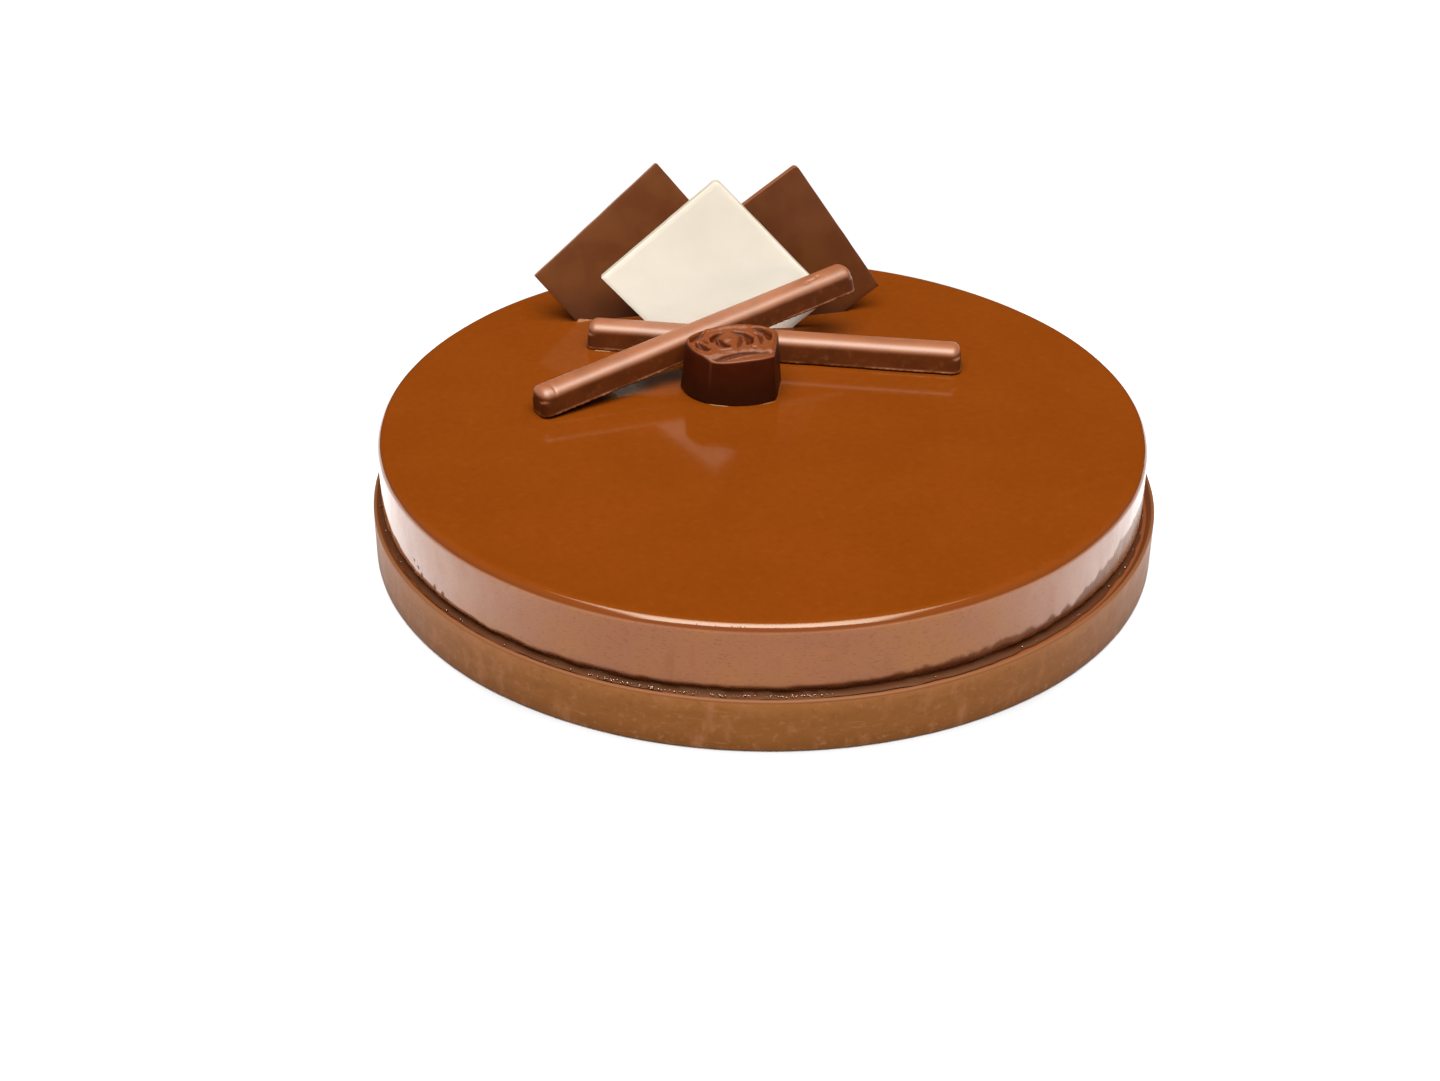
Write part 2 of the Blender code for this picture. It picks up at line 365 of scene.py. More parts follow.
@dataclass(frozen=True)
class GlazeFinish:
    """A chocolate mirror glaze: deep on the level top, thin and milky down the wall."""

    name: str = "mirror_glaze"
    top: Colour = linear(88, 39, 4)
    top_warm: Colour = linear(91, 41, 5)
    top_light: Colour = linear(97, 46, 11)
    top_deep: Colour = linear(80, 34, 2)
    rim: Colour = linear(90, 42, 10)
    wall: Colour = linear(128, 83, 52)
    wall_patch: Colour = linear(124, 79, 57)
    scratch: Colour = linear(102, 56, 36)
    foot: Colour = linear(80, 40, 19)
    # Painted reflection: the lighter brown of the foot band where it reaches up the far right wall.
    painted_reflection_right: Colour = linear(108, 66, 38)
    # Pooled glaze, darkened as painted shade in the groove at the wall's foot.
    pooled_and_shade: Colour = linear(62, 30, 14)
    speck: Colour = linear(104, 52, 24)
    rim_low: float = 37.3 * MM
    rim_high: float = 38.3 * MM
    flat: float = 39.75 * MM
    edge_width: float = 0.4 * MM
    wall_foot: float = 20.4 * MM
    pool: float = 18.6 * MM
    right: Point = (-10 * MM, 80 * MM)
    far_right: Point = (84 * MM, 114 * MM)
    foot_ragged_mm: float = 1.2
    reflection_ragged_right_mm: float = 7.0
    reflection_rise_right: float = 2.6 * MM
    reflection_rise_far_right_mm: float = 8.5
    reflection_light_levels: Point = (18 * MM, 21 * MM)
    pool_line: Point = (17.7 * MM, 17.2 * MM)
    pool_dull: Point = (17.6 * MM, 17.0 * MM)
    roughness: float = 0.1
    rim_coat: float = 0.56
    dim_right: Point = (5 * MM, 50 * MM)
    dim_left: Point = (-15 * MM, -55 * MM)
    tint: Colour = (1.0, 0.78, 0.5, 1.0)
    dull: Point3 = (-32.0 * MM, 24.0 * MM, 40.0 * MM)
    dull_reach: float = 14.0 * MM
    nicks: tuple[Point, ...] = ()
    nick_size: Point = (1.0 * MM, 0.4 * MM)
    nick_depth_mm: float = 8.0

    def make(self) -> bpy.types.Material:
        """Build it from the level top down to the pool at the foot.

        Returns:
            The material, on Object coordinates.
        """
        paint = Paint(self.name)
        on_wall = paint.z.step(self.rim_high, self.rim_low)
        on_edge = paint.z.step(self.flat, self.flat - self.edge_width)
        far_right = paint.x.step(*self.far_right)
        drift = paint.cloud(34 * MM, detail=2.0)
        mottle = paint.cloud(11 * MM, detail=4.0, shift=7.0)
        streaks = paint.cloud(5 * MM, detail=4.0, squash=0.4, shift=4.0)
        grain = paint.cloud(2.4 * MM, detail=5.0, rough=0.65, shift=41.0)
        broad = paint.cloud(26 * MM, detail=3.0, shift=31.0)
        scratches = paint.cloud(1.5 * MM, detail=3.0, squash=3.5, shift=15.0)
        top = paint.layers(
            self.top,
            (drift.step(0.3, 0.7), self.top_warm),
            (grain.step(0.5, 0.78) * 0.5, self.top_light),
            (grain.step(0.5, 0.22) * 0.5, self.top_deep),
            (paint.dots(6.0 * MM, 0.28 * MM, 0.35) * 0.5, self.speck),
            (on_edge, self.rim),
        )
        foot = self._foot(paint, mottle, streaks, scratches)
        # Painted reflection: at the far right the raised foot band turns lighter brown.
        light = far_right * paint.z.step(*self.reflection_light_levels)
        wall = paint.layers(
            self.wall,
            (broad.step(0.35, 0.65), self.wall_patch),
            (streaks.step(0.55, 0.75) * 0.25, self.speck),
            (scratches.step(0.54, 0.7) * 0.5, self.scratch),
            (paint.dots(7 * MM, 0.3 * MM, 0.4) * 0.7, self.foot),
            (
                foot.step(self.wall_foot, self.pool),
                paint.blend(light, self.foot, self.painted_reflection_right),
            ),
            # Painted shade over the pooled glaze at the very foot.
            (paint.z.step(*self.pool_line), self.pooled_and_shade),
        )
        waves = paint.cloud(7 * MM, detail=2.0, shift=11.0) * on_wall
        lines = paint.cloud(12 * MM, detail=2.0, squash=24.0, shift=21.0)
        lines = lines * on_edge * (1.0 - on_wall)
        pricks = paint.dots(3.1 * MM, 0.25 * MM, 0.3)
        rough = self.roughness + (mottle - 0.5) * 0.03 - on_edge * 0.05
        rough = rough + streaks.step(0.4, 0.7) * on_wall * 0.08
        rough = rough + foot.step(self.wall_foot, self.pool) * 0.2
        rough = rough + paint.z.step(*self.pool_dull) * 0.35
        rough = rough + paint.near(self.dull, self.dull_reach, 0.3 * self.dull_reach) * 0.4
        aslant = paint.node("ShaderNodeLayerWeight", {"Blend": 0.5}, "Facing")
        milky = aslant.step(0.15, 0.6) * (0.42 + streaks.step(0.3, 0.7) * 0.24)
        milky = milky * (1.0 - aslant.step(0.58, 0.9) * 0.5)
        above = foot.step(self.pool, self.wall_foot)
        bright = 1.0 - paint.x.step(*self.dim_right) * 0.75 - paint.x.step(*self.dim_left) * 0.5
        rim_coat = on_edge * (1.0 - on_wall) * bright * self.rim_coat
        return paint.finish({
            "Base Color": paint.blend(on_wall, top, wall),
            "Roughness": rough,
            "Normal": paint.relief((waves, 0.12 * MM), (lines, 0.04 * MM), (pricks, 0.02 * MM)),
            "Coat Weight": rim_coat + on_wall * above * (milky + 0.05),
            "Coat Roughness": 0.03,
            "Coat IOR": 1.6,
            "IOR": 1.3,
            "Specular Tint": self.tint,
        })

    def _foot(self, paint: Paint, mottle: Signal, streaks: Signal, scratches: Signal) -> Signal:
        """Height above the dark band at the glaze's foot, lower where the band reaches up; at the
        right it reaches far up the wall as a painted reflection.

        Args:
            paint: The material.
            mottle: Noise that the foot follows everywhere.
            streaks: Noise that the painted reflection's ragged edge follows at the right.
            scratches: Noise that the nicks follow.

        Returns:
            The height.
        """
        # Painted reflection: at the right the dark foot band is raised and ragged up the wall.
        ragged = (streaks - 0.5) * self.reflection_ragged_right_mm * MM - self.reflection_rise_right
        foot = paint.z + (mottle - 0.5) * self.foot_ragged_mm * MM
        foot = foot + ragged * paint.x.step(*self.right)
        foot = foot - paint.x.step(*self.far_right) * self.reflection_rise_far_right_mm * MM
        for azimuth, level in self.nicks:
            turn = math.radians(azimuth)
            across = GLAZE_RADIUS * math.cos(turn) + GLAZE_OFFSET
            place = Vector((across, GLAZE_RADIUS * math.sin(turn), level)) * MM
            away = paint.away(place) + (scratches - 0.5) * self.foot_ragged_mm * MM
            foot = foot - away.step(*self.nick_size) * self.nick_depth_mm * MM
        return foot


@dataclass(frozen=True)
class BandFinish:
    """Dull milk chocolate of the base disc: streaked on its wall, with painted shade low down, on
    its rim line and in its groove.
    """

    name: str = "base_band"
    # Painted shade: high, middle and low darken the band towards its foot.
    high: Colour = linear(119, 74, 37)
    middle: Colour = linear(107, 64, 27)
    low: Colour = linear(97, 56, 20)
    smear: Colour = linear(131, 86, 58)
    # Painted shade: the ledge and the rim line are darker than the band.
    ledge: Colour = linear(102, 55, 30)
    rim: Colour = linear(98, 60, 36)
    radius: float = DISC_RADIUS * MM
    height: float = DISC_HEIGHT * MM
    roughness: float = 0.46
    swing: float = 0.3
    tint: Colour = (1.0, 0.85, 0.7, 1.0)

    def make(self) -> bpy.types.Material:
        """Build it from the rim down, then shade the ledge.

        Returns:
            The material, on Object coordinates.
        """
        paint = Paint(self.name)
        mottle = paint.cloud(12 * MM, detail=4.0, shift=2.0)
        streaks = paint.cloud(6 * MM, detail=5.0, rough=0.6, squash=0.45, shift=9.0)
        grain = paint.cloud(0.5 * MM, detail=3.0, rough=0.6)
        pits = paint.dots(5 * MM, 0.35 * MM, 0.3)
        fine = paint.cloud(2.6 * MM, detail=5.0, rough=0.65, squash=1.2, shift=19.0)
        marks = paint.cloud(9 * MM, detail=3.0, rough=0.6, squash=14.0, shift=27.0)
        level = paint.z + (mottle - 0.5) * 6.0 * MM
        reach = (paint.x * paint.x + paint.y * paint.y).root()
        groove = reach.step(self.radius - 1.0 * MM, self.radius - 1.5 * MM)
        colour = paint.layers(
            self.high,
            # Painted shade, darker towards the foot.
            (level.step(16.5 * MM, 10 * MM), self.middle),
            (level.step(7 * MM, 1 * MM), self.low),
            (streaks.step(0.5, 0.72) * 0.5, self.smear),
            (fine.step(0.54, 0.7) * 0.5, self.smear),
            (fine.step(0.46, 0.3) * 0.55, self.low),
            (marks.step(0.6, 0.72) * 0.4, self.smear),
            # Painted shade on the rim line, then on the ledge in the groove.
            (paint.z.step(self.height - 1.0 * MM, self.height - 0.4 * MM), self.rim),
            (groove * paint.z.step(0.4 * self.height, 0.6 * self.height), self.ledge),
        )
        bumps = ((streaks, 0.16 * MM), (grain, 0.012 * MM), (1.0 - pits, 0.12 * MM))
        return paint.finish({
            "Base Color": colour,
            "Roughness": self.roughness + (streaks - 0.5) * self.swing,
            "Normal": paint.relief(*bumps),
            "Specular IOR Level": 0.12,
            "Specular Tint": self.tint,
        })


@dataclass(frozen=True)
class PralineTop:
    """The praline's plain top, which its shape and its finish share, in millimetres."""

    place: Point = (-6.8, 8.8)
    heading: float = 5.6
    bottom: float = 40.3
    height: float = 16.2
    back: float = 13.4
    back_rise: float = 1.3
    front_drop: float = 1.2
    drop_along: Point = (2.4, -0.6)
    drop_across: Point = (3.0, -10.0)


TOP = PralineTop()


@dataclass(frozen=True)
class LitEdge:
    """A painted highlight up a leaning edge of the praline."""

    colour: Colour
    foot: Point3 = (17.95 * MM, 6.85 * MM, 40.3 * MM)
    slope: Point = (0.063, 0.06)
    width: Point = (0.8 * MM, 0.1 * MM)
    fade: float = 12.0 * MM
    share: float = 0.36

    def cover(self, paint: Paint) -> Signal:
        """Where the painted highlight shows.

        Args:
            paint: The praline's material.

        Returns:
            A share that grows up the edge.
        """
        rise = paint.z - self.foot[2]
        aside = paint.x + (self.foot[0] - rise * self.slope[0])
        ahead = paint.y - (self.foot[1] + rise * self.slope[1])
        near = (aside * aside + ahead * ahead).root().step(*self.width)
        return near * rise.step(0.0, self.fade) * self.share


@dataclass(frozen=True)
class ChocolateFinish:
    """Tempered chocolate, from dull to softly shining."""

    name: str
    colour: Colour
    patch: Colour
    bloom: Colour
    patch_span: float = 14 * MM
    bloom_share: float = 0.12
    roughness: float = 0.38
    swing: float = 0.12
    grain_depth: float = 0.012 * MM
    pit_span: float = 5 * MM
    pit_size: float = 0.3 * MM
    pit_depth: float = 0.1 * MM
    pit_keep: float = 0.3
    coat: float = 0.0
    coat_roughness: float = 0.4
    coat_ior: float = 1.6
    specular: float = 0.5
    wave: float = 0.08 * MM
    # Painted light: up-facing faces blend to this colour, lighter on the sticks, the praline and
    # the milk plates' top edges, darker as painted shade on the white plate's top edges.
    upward: Colour | None = None
    # Painted shade in the praline's hollows: they keep little of the painted top light.
    hollows: bool = False
    edge: LitEdge | None = None
    up_from: float = 0.1
    up_full: float = 0.75
    up_patch: float = 0.0
    shine_from: float = -0.1
    tint: Colour = (1.0, 0.85, 0.7, 1.0)
    # Painted patch round one place: painted shade on the left milk plate, painted light on the
    # white plate.
    painted_light_spot: Point3 | None = None
    painted_light_reach: float = 15 * MM
    painted_light_core: float = 3 * MM
    painted_light_colour: Colour = linear(26, 12, 5)
    # Painted light towards the foot: painted shade on the milk plates and the praline, painted
    # light on the white plate.
    foot: Colour | None = None
    foot_high: float = 55 * MM
    foot_low: float = 40 * MM
    foot_ragged_mm: float = 10

    def make(self) -> bpy.types.Material:
        """Build it from the chocolate's tone, then lay on its painted light: shade or light towards
        the foot, light on what faces up, a highlight up an edge and a patch round one place.

        Returns:
            The material, on Object coordinates.
        """
        paint = Paint(self.name)
        coat: Number = self.coat
        patches = paint.cloud(self.patch_span, detail=3.0, shift=2.0)
        bloom = paint.cloud(self.patch_span * 0.35, detail=5.0, rough=0.6, shift=9.0)
        grain = paint.cloud(0.5 * MM, detail=3.0, rough=0.6)
        waves = paint.cloud(6 * MM, detail=2.0, shift=5.0)
        pits = paint.dots(self.pit_span, self.pit_size, self.pit_keep)
        covers = [(patches.step(0.32, 0.68), self.patch)]
        # Painted shade or painted light towards the foot, as the foot colour says.
        if self.foot is not None:
            low = paint.z + (patches - 0.5) * self.foot_ragged_mm * MM
            covers.append((low.step(self.foot_high, self.foot_low), self.foot))
        # Painted light on what faces up, broken a little by the patches.
        if self.upward is not None:
            facing = paint.axes(paint.node("ShaderNodeNewGeometry", output="Normal"))[2]
            level = facing.step(self.up_from, self.up_full)
            level = level * (1.0 - patches.step(0.42, 0.68) * self.up_patch)
            coat = facing.step(self.shine_from, self.shine_from + 0.5) * self.coat
            # Painted shade: the hollows keep little of the painted top light and of the coat.
            if self.hollows:
                plain = 1.0 - self._hollow(paint) * 0.8
                level, coat = level * plain, coat * plain
            covers.append((level, self.upward))
        # Painted highlight up a leaning edge.
        if self.edge is not None:
            covers.append((self.edge.cover(paint), self.edge.colour))
        # Painted patch of shade or light round one place, in its own colour.
        if self.painted_light_spot is not None:
            near = paint.near(self.painted_light_spot, self.painted_light_reach, self.painted_light_core)
            covers.append((near, self.painted_light_colour))
        covers.append((bloom.step(0.5, 0.8) * self.bloom_share, self.bloom))
        bumps = ((waves, self.wave), (grain, self.grain_depth), (1.0 - pits, self.pit_depth))
        return paint.finish({
            "Base Color": paint.layers(self.colour, *covers),
            "Roughness": self.roughness + (bloom - 0.5) * self.swing,
            "Normal": paint.relief(*bumps),
            "Coat Weight": coat,
            "Coat Roughness": self.coat_roughness,
            "Coat IOR": self.coat_ior,
            "Specular IOR Level": self.specular,
            "Specular Tint": self.tint,
        })

    def _hollow(self, paint: Paint) -> Signal:
        """How deep a point lies under the plain top of the praline.

        Args:
            paint: The material.

        Returns:
            0 on the top, 1 in its hollows.
        """
        turn = math.radians(TOP.heading)
        east, north = (axis - value * MM for axis, value in zip((paint.x, paint.y), TOP.place))
        forward = north * math.cos(turn) - east * math.sin(turn)
        aside = east * math.cos(turn) + north * math.sin(turn)
        drop = forward.step(*metres(*TOP.drop_along)) * aside.step(*metres(*TOP.drop_across))
        drop = drop * TOP.front_drop * MM
        top = forward * (TOP.back_rise / TOP.back) + (TOP.bottom + TOP.height) * MM - drop
        return (top - paint.z).step(0.3 * MM, 0.85 * MM)
MIRROR_GLAZE = GlazeFinish(
    nicks=((-149.4, 24.1), (-148.1, 23.0), (-147.0, 21.5), (-143.2, 21.5), (-141.1, 21.3)),
)
BAND = BandFinish()
MILK_PLATE = ChocolateFinish(
    name="milk_plate_chocolate",
    # Painted shade near the foot, where the white plate shades this plate.
    painted_light_spot=(-36 * MM, 76 * MM, 41 * MM),
    painted_light_reach=16 * MM,
    # Painted highlight on the plate's upward top edges.
    upward=linear(96, 56, 34),
    up_from=0.45,
    colour=linear(80, 42, 17),
    patch=linear(72, 34, 11),
    bloom=linear(96, 58, 33),
    patch_span=11 * MM,
    roughness=0.46,
    pit_keep=0.08,
    specular=0.2,
    # Painted shade darkens the plate towards its foot.
    foot=linear(59, 28, 12),
    foot_high=54 * MM,
    foot_low=40 * MM,
)
MILK_PLATE_RIGHT = replace(
    MILK_PLATE,
    name="milk_plate_chocolate_right",
    painted_light_spot=None,
    # Painted shade darkens the plate towards its foot.
    foot=linear(68, 35, 16),
    foot_high=48 * MM,
)
WHITE_PLATE = ChocolateFinish(
    name="white_plate_chocolate",
    colour=linear(200, 195, 185),
    patch=linear(198, 192, 181),
    bloom=linear(204, 200, 191),
    roughness=0.42,
    pit_keep=0.1,
    pit_depth=0.05 * MM,
    specular=0.3,
    # Painted light: lighter towards the foot, darker at the top.
    foot=linear(222, 218, 210),
    foot_high=85 * MM,
    foot_low=44 * MM,
    # Painted shade darkens the white plate's upward edges.
    upward=linear(146, 139, 128),
    # Painted light low on the plate, where the sticks shade it.
    painted_light_spot=(12 * MM, 63 * MM, 41 * MM),
    painted_light_reach=24 * MM,
    painted_light_colour=linear(248, 241, 232),
)
MOULDED = ChocolateFinish(
    name="moulded_milk_chocolate",
    colour=linear(67, 26, 3),
    patch=linear(58, 22, 2),
    bloom=linear(112, 64, 34),
    patch_span=9 * MM,
    bloom_share=0.36,
    roughness=0.5,
    swing=0.2,
    pit_span=2.8 * MM,
    pit_size=0.26 * MM,
    pit_depth=0.14 * MM,
    pit_keep=0.4,
    coat=1.0,
    coat_roughness=0.48,
    specular=0.12,
    wave=0.2 * MM,
    # Painted light: the stick's tops are lighter than its dark sides.
    upward=linear(112, 63, 34),
    up_from=-0.05,
    up_full=0.6,
    up_patch=0.2,
    shine_from=0.02,
)
DARK = ChocolateFinish(
    name="praline_chocolate",
    colour=linear(52, 15, 3),
    patch=linear(46, 13, 2),
    bloom=linear(64, 28, 11),
    patch_span=6 * MM,
    roughness=0.45,
    coat=0.18,
    coat_roughness=0.36,
    specular=0.09,
    # Painted light: the praline's top is lighter than its dark sides.
    upward=linear(89, 42, 15),
    hollows=True,
    edge=LitEdge(linear(84, 40, 25)),
    # Painted shade darkens the praline towards its foot.
    foot=linear(38, 11, 2),
    foot_high=53 * MM,
    foot_low=43 * MM,
)
BUBBLE = ChocolateFinish(
    name="bubble_glaze",
    colour=linear(96, 46, 14),
    patch=linear(88, 40, 10),
    bloom=linear(104, 56, 26),
    patch_span=6 * MM,
    roughness=0.1,
    swing=0.02,
    pit_keep=0.0,
    coat=1.0,
    coat_roughness=0.14,
    coat_ior=2.4,
    specular=0.8,
)


class Workbench:
    """Blender's modelling tools, each used on one piece alone."""

    weld: float = 0.002 * MM

    def take(self, piece: Piece) -> None:
        """Select a piece alone.

        Args:
            piece: The piece to work on.
        """
        bpy.ops.object.select_all(action="DESELECT")
        piece.select_set(True)
        bpy.context.view_layer.objects.active = piece

    @contextmanager
    def editing(self, piece: Piece) -> Iterator[bmesh.types.BMesh]:
        """Edit mode on a piece, with all of it deselected first.

        Args:
            piece: The piece to edit.

        Yields:
            Its mesh in edit mode.
        """
        self.take(piece)
        bpy.ops.object.mode_set(mode="EDIT")
        bpy.ops.mesh.select_mode(type="VERT")
        bpy.ops.mesh.select_all(action="DESELECT")
        yield bmesh.from_edit_mesh(piece.data)
        bpy.ops.object.mode_set(mode="OBJECT")

    def fresh(self, name: str) -> Piece:
        """Name the primitive that was just added.

        Args:
            name: The piece's name.

        Returns:
            The piece.
        """
        piece = bpy.context.object
        piece.name = name
        piece.data.name = name
        return piece

    def clean(self, piece: Piece) -> None:
        """Merge double points and turn all faces outwards.

        Args:
            piece: The piece to clean.
        """
        with self.editing(piece):
            bpy.ops.mesh.select_all(action="SELECT")
            bpy.ops.mesh.remove_doubles(threshold=self.weld)
            bpy.ops.mesh.normals_make_consistent(inside=False)

    def lathe(self, name: str, profile: Sequence[Point], steps: int) -> Piece:
        """Spin a profile that starts and ends on the axis round Z.

        Args:
            name: The piece's name.
            profile: Points as radius and height.
            steps: Stretches of the full turn.

        Returns:
            A closed piece.
        """
        bpy.ops.mesh.primitive_plane_add(size=MM)
        piece = self.fresh(name)
        with self.editing(piece):
            bpy.ops.mesh.select_all(action="SELECT")
            bpy.ops.mesh.merge(type="CENTER")
            bpy.ops.transform.translate(value=(profile[0][0], 0.0, profile[0][1]))
            for before, after in pairwise(profile):
                move = (after[0] - before[0], 0.0, after[1] - before[1])
                bpy.ops.mesh.extrude_region_move(TRANSFORM_OT_translate={"value": move})
            bpy.ops.mesh.select_all(action="SELECT")
            bpy.ops.mesh.spin(steps=steps, angle=math.tau, center=(0, 0, 0), axis=(0, 0, 1))
        self.clean(piece)
        return piece

    def loft(self, name: str, rings: Sequence[Sequence[Vector]], tube: bool = False) -> Piece:
        """Extrude a ring of points through others.

        Args:
            name: The piece's name.
            rings: Rings of equally many points.
            tube: Whether the last ring joins the first, or else both ends are filled.

        Returns:
            A closed piece.
        """
        order = list(range(len(rings[0])))
        bpy.ops.mesh.primitive_circle_add(vertices=len(order), radius=MM)
        piece = self.fresh(name)
        with self.editing(piece) as mesh:
            self._lay(mesh, order, rings[0])
            bpy.ops.mesh.select_all(action="SELECT")
            for ring in rings[1:]:
                bpy.ops.mesh.extrude_edges_move()
                mesh = bmesh.from_edit_mesh(piece.data)
                order = self._next_ring(mesh, order)
                self._lay(mesh, order, ring)
            if not tube:
                bpy.ops.mesh.edge_face_add()
                bpy.ops.mesh.select_all(action="DESELECT")
            mesh.verts.ensure_lookup_table()
            for index in range(len(order)):
                mesh.verts[index].select = True
            mesh.select_flush(True)
            if tube:
                bpy.ops.mesh.bridge_edge_loops()
            else:
                bpy.ops.mesh.edge_face_add()
        self.clean(piece)
        return piece

    def _lay(self, mesh: bmesh.types.BMesh, order: list[int], ring: Sequence[Vector]) -> None:
        """Set a ring's points down.

        Args:
            mesh: The mesh in edit mode.
            order: Numbers of the ring's points, in order.
            ring: Where they go.
        """
        mesh.verts.ensure_lookup_table()
        for index, place in zip(order, ring):
            mesh.verts[index].co = place

    def _next_ring(self, mesh: bmesh.types.BMesh, order: list[int]) -> list[int]:
        """The points that were just extruded.

        Args:
            mesh: The mesh in edit mode.
            order: Numbers of the ring before.

        Returns:
            Numbers of the new ring, in the same order.
        """
        mesh.verts.index_update()
        mesh.verts.ensure_lookup_table()
        partner = {}
        for vertex in mesh.verts:
            if vertex.select:
                for edge in vertex.link_edges:
                    other = edge.other_vert(vertex)
                    if not other.select:
                        partner[other.index] = vertex.index
        return [partner[index] for index in order]

    def cast(self, name: str, node: str) -> Piece:
        """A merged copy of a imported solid.

        Args:
            name: The copy's name.
            node: The solid's node.

        Returns:
            The copy, free to be worked on.
        """
        piece = bpy.data.objects.new(name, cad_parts[node].data.copy())
        bpy.context.scene.collection.objects.link(piece)
        piece.data.materials.clear()
        self.clean(piece)
        return piece

    def modify(self, piece: Piece, kind: str, **settings: Any) -> None:
        """Add a modifier and apply it.

        Args:
            piece: The piece to change.
            kind: The modifier's type.
            settings: Its settings.
        """
        self.take(piece)
        modifier = piece.modifiers.new(kind.lower(), kind)
        for name, value in settings.items():
            setattr(modifier, name, value)
        bpy.ops.object.modifier_apply(modifier=modifier.name)

    def sculpt(self, piece: Piece, move: Callable[[Vector], Vector]) -> None:
        """Move every point of a piece.

        Args:
            piece: The piece to shape.
            move: Gives the new place of a point.
        """
        for vertex in piece.data.vertices:
            vertex.co = move(vertex.co.copy())
        piece.data.update()

    def smooth(self, piece: Piece, below: float) -> None:
        """Shade a piece smooth, but for edges sharper than an angle in degrees."""
        self.take(piece)
        bpy.ops.object.shade_smooth_by_angle(angle=math.radians(below))

    def outline(self, node: str, height: float, pitch: float) -> list[Vector]:
        """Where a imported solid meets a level.

        Args:
            node: The solid's node.
            height: The level.
            pitch: Distance from one point to the next.

        Returns:
            A ring of evenly spaced points, anticlockwise from above.
        """
        piece = self.cast("section", node)
        with self.editing(piece):
            bpy.ops.mesh.select_all(action="SELECT")
            plane = {"plane_co": (0, 0, height), "plane_no": (0, 0, 1)}
            bpy.ops.mesh.bisect(**plane, clear_inner=True, clear_outer=True)
        self.clean(piece)
        links: dict[int, list[int]] = {}
        for edge in piece.data.edges:
            first, second = edge.vertices
            links.setdefault(first, []).append(second)
            links.setdefault(second, []).append(first)
        walk = [next(iter(links))]
        last = None
        while True:
            following = [index for index in links[walk[-1]] if index != last]
            last = walk[-1]
            if not following or following[0] == walk[0]:
                break
            walk.append(following[0])
        ring = [piece.data.vertices[index].co.copy() for index in walk]
        bpy.data.objects.remove(piece)
        area = sum(a.x * b.y - b.x * a.y for a, b in zip(ring, ring[1:] + ring[:1]))
        if area < 0:
            ring.reverse()
        return self._even(ring, pitch)

    def _even(self, ring: list[Vector], pitch: float) -> list[Vector]:
        """Space a ring's points evenly.

        Args:
            ring: The ring.
            pitch: Distance from one point to the next.

        Returns:
            The new ring.
        """
        sides = list(zip(ring, ring[1:] + ring[:1]))
        total = sum((b - a).length for a, b in sides)
        count = max(12, round(total / pitch))
        even = []
        passed = 0.0
        for a, b in sides:
            length = (b - a).length
            while len(even) < count and total * len(even) / count <= passed + length:
                share = (total * len(even) / count - passed) / max(length, 1e-9)
                even.append(a.lerp(b, share))
            passed += length
        return even


def deliver(piece: Piece, slot: Slot, material: bpy.types.Material, *nodes: str) -> None:
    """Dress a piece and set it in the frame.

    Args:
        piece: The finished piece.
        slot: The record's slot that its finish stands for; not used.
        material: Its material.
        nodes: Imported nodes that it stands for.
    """
    piece.data.materials.clear()
    piece.data.materials.append(material)
    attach(piece, BODY)
    if nodes:
        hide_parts(*nodes)
    LOG.info("%s: %d faces", piece.name, len(piece.data.polygons))


class CakePart(ABC):
    """A sub-assembly of the cake."""

    @abstractmethod
    def build(self, bench: Workbench) -> list[Piece]:
        """Model the pieces.

        Args:
            bench: The tools to model with.

        Returns:
            The pieces, undressed.
        """

    @abstractmethod
    def dress(self, pieces: list[Piece]) -> None:
        """Give the pieces that were built their finish and their place in the frame."""


@dataclass
class BaseDisc(CakePart):
    """The milk chocolate disc, with a thin rim line and a ledge that slopes in."""

    radius: float = DISC_RADIUS * MM
    height: float = DISC_HEIGHT * MM
    foot_round: float = 0.8 * MM
    rim_round: float = 0.6 * MM
    rim_width: float = 1.0 * MM
    ledge_drop: float = 1.6 * MM
    ledge_width: float = 1.5 * MM
    steps: int = 384

    def build(self, bench: Workbench) -> list[Piece]:
        """Spin the disc and make its wall and rim as uneven as cast chocolate.

        Args:
            bench: The tools to model with.

        Returns:
            The disc.
        """
        floor = self.height - self.ledge_drop
        rim_inner = self.radius - self.rim_width
        foot = (self.radius - self.foot_round, self.foot_round)
        edge = (self.radius - self.rim_round, self.height - self.rim_round)
        profile = [(0.0, 0.0), (self.radius * 0.5, 0.0)]
        profile += arc(foot, self.foot_round, -90, 0, 4)
        profile += stretch((self.radius, self.foot_round), (self.radius, edge[1]), 8)
        profile += arc(edge, self.rim_round, 0, 90, 6)
        profile += [(rim_inner, self.height), (rim_inner - self.ledge_width, floor)]
        profile += [(self.radius * 0.6, floor), (0.0, floor)]
        disc = bench.lathe("base_disc_cast", profile, self.steps)
        bench.sculpt(disc, self._uneven)
        bench.smooth(disc, 35.0)
        return [disc]

    def _uneven(self, place: Vector) -> Vector:
        """Where a point of the disc really lies.

        Args:
            place: The point on the true disc.

        Returns:
            The point, drawn in a little here and there.
        """
        outer = ramp(math.hypot(place.x, place.y), self.radius * 0.9, self.radius)
        draw = 0.10 * MM * (ripple(place, 19 * MM) - 1.0) + 0.03 * MM * ripple(place, 4 * MM, 3.0)
        upper = ramp(place.z, 0.6 * self.height, self.height)
        lift = 0.07 * MM * ripple(place, 23 * MM, 5.0) * upper
        return place + outward(place) * draw * outer + Vector((0.0, 0.0, lift))

    def dress(self, pieces: list[Piece]) -> None:
        """Dull milk chocolate."""
        deliver(pieces[0], Slot.BAND, BAND.make(), "base_disc")


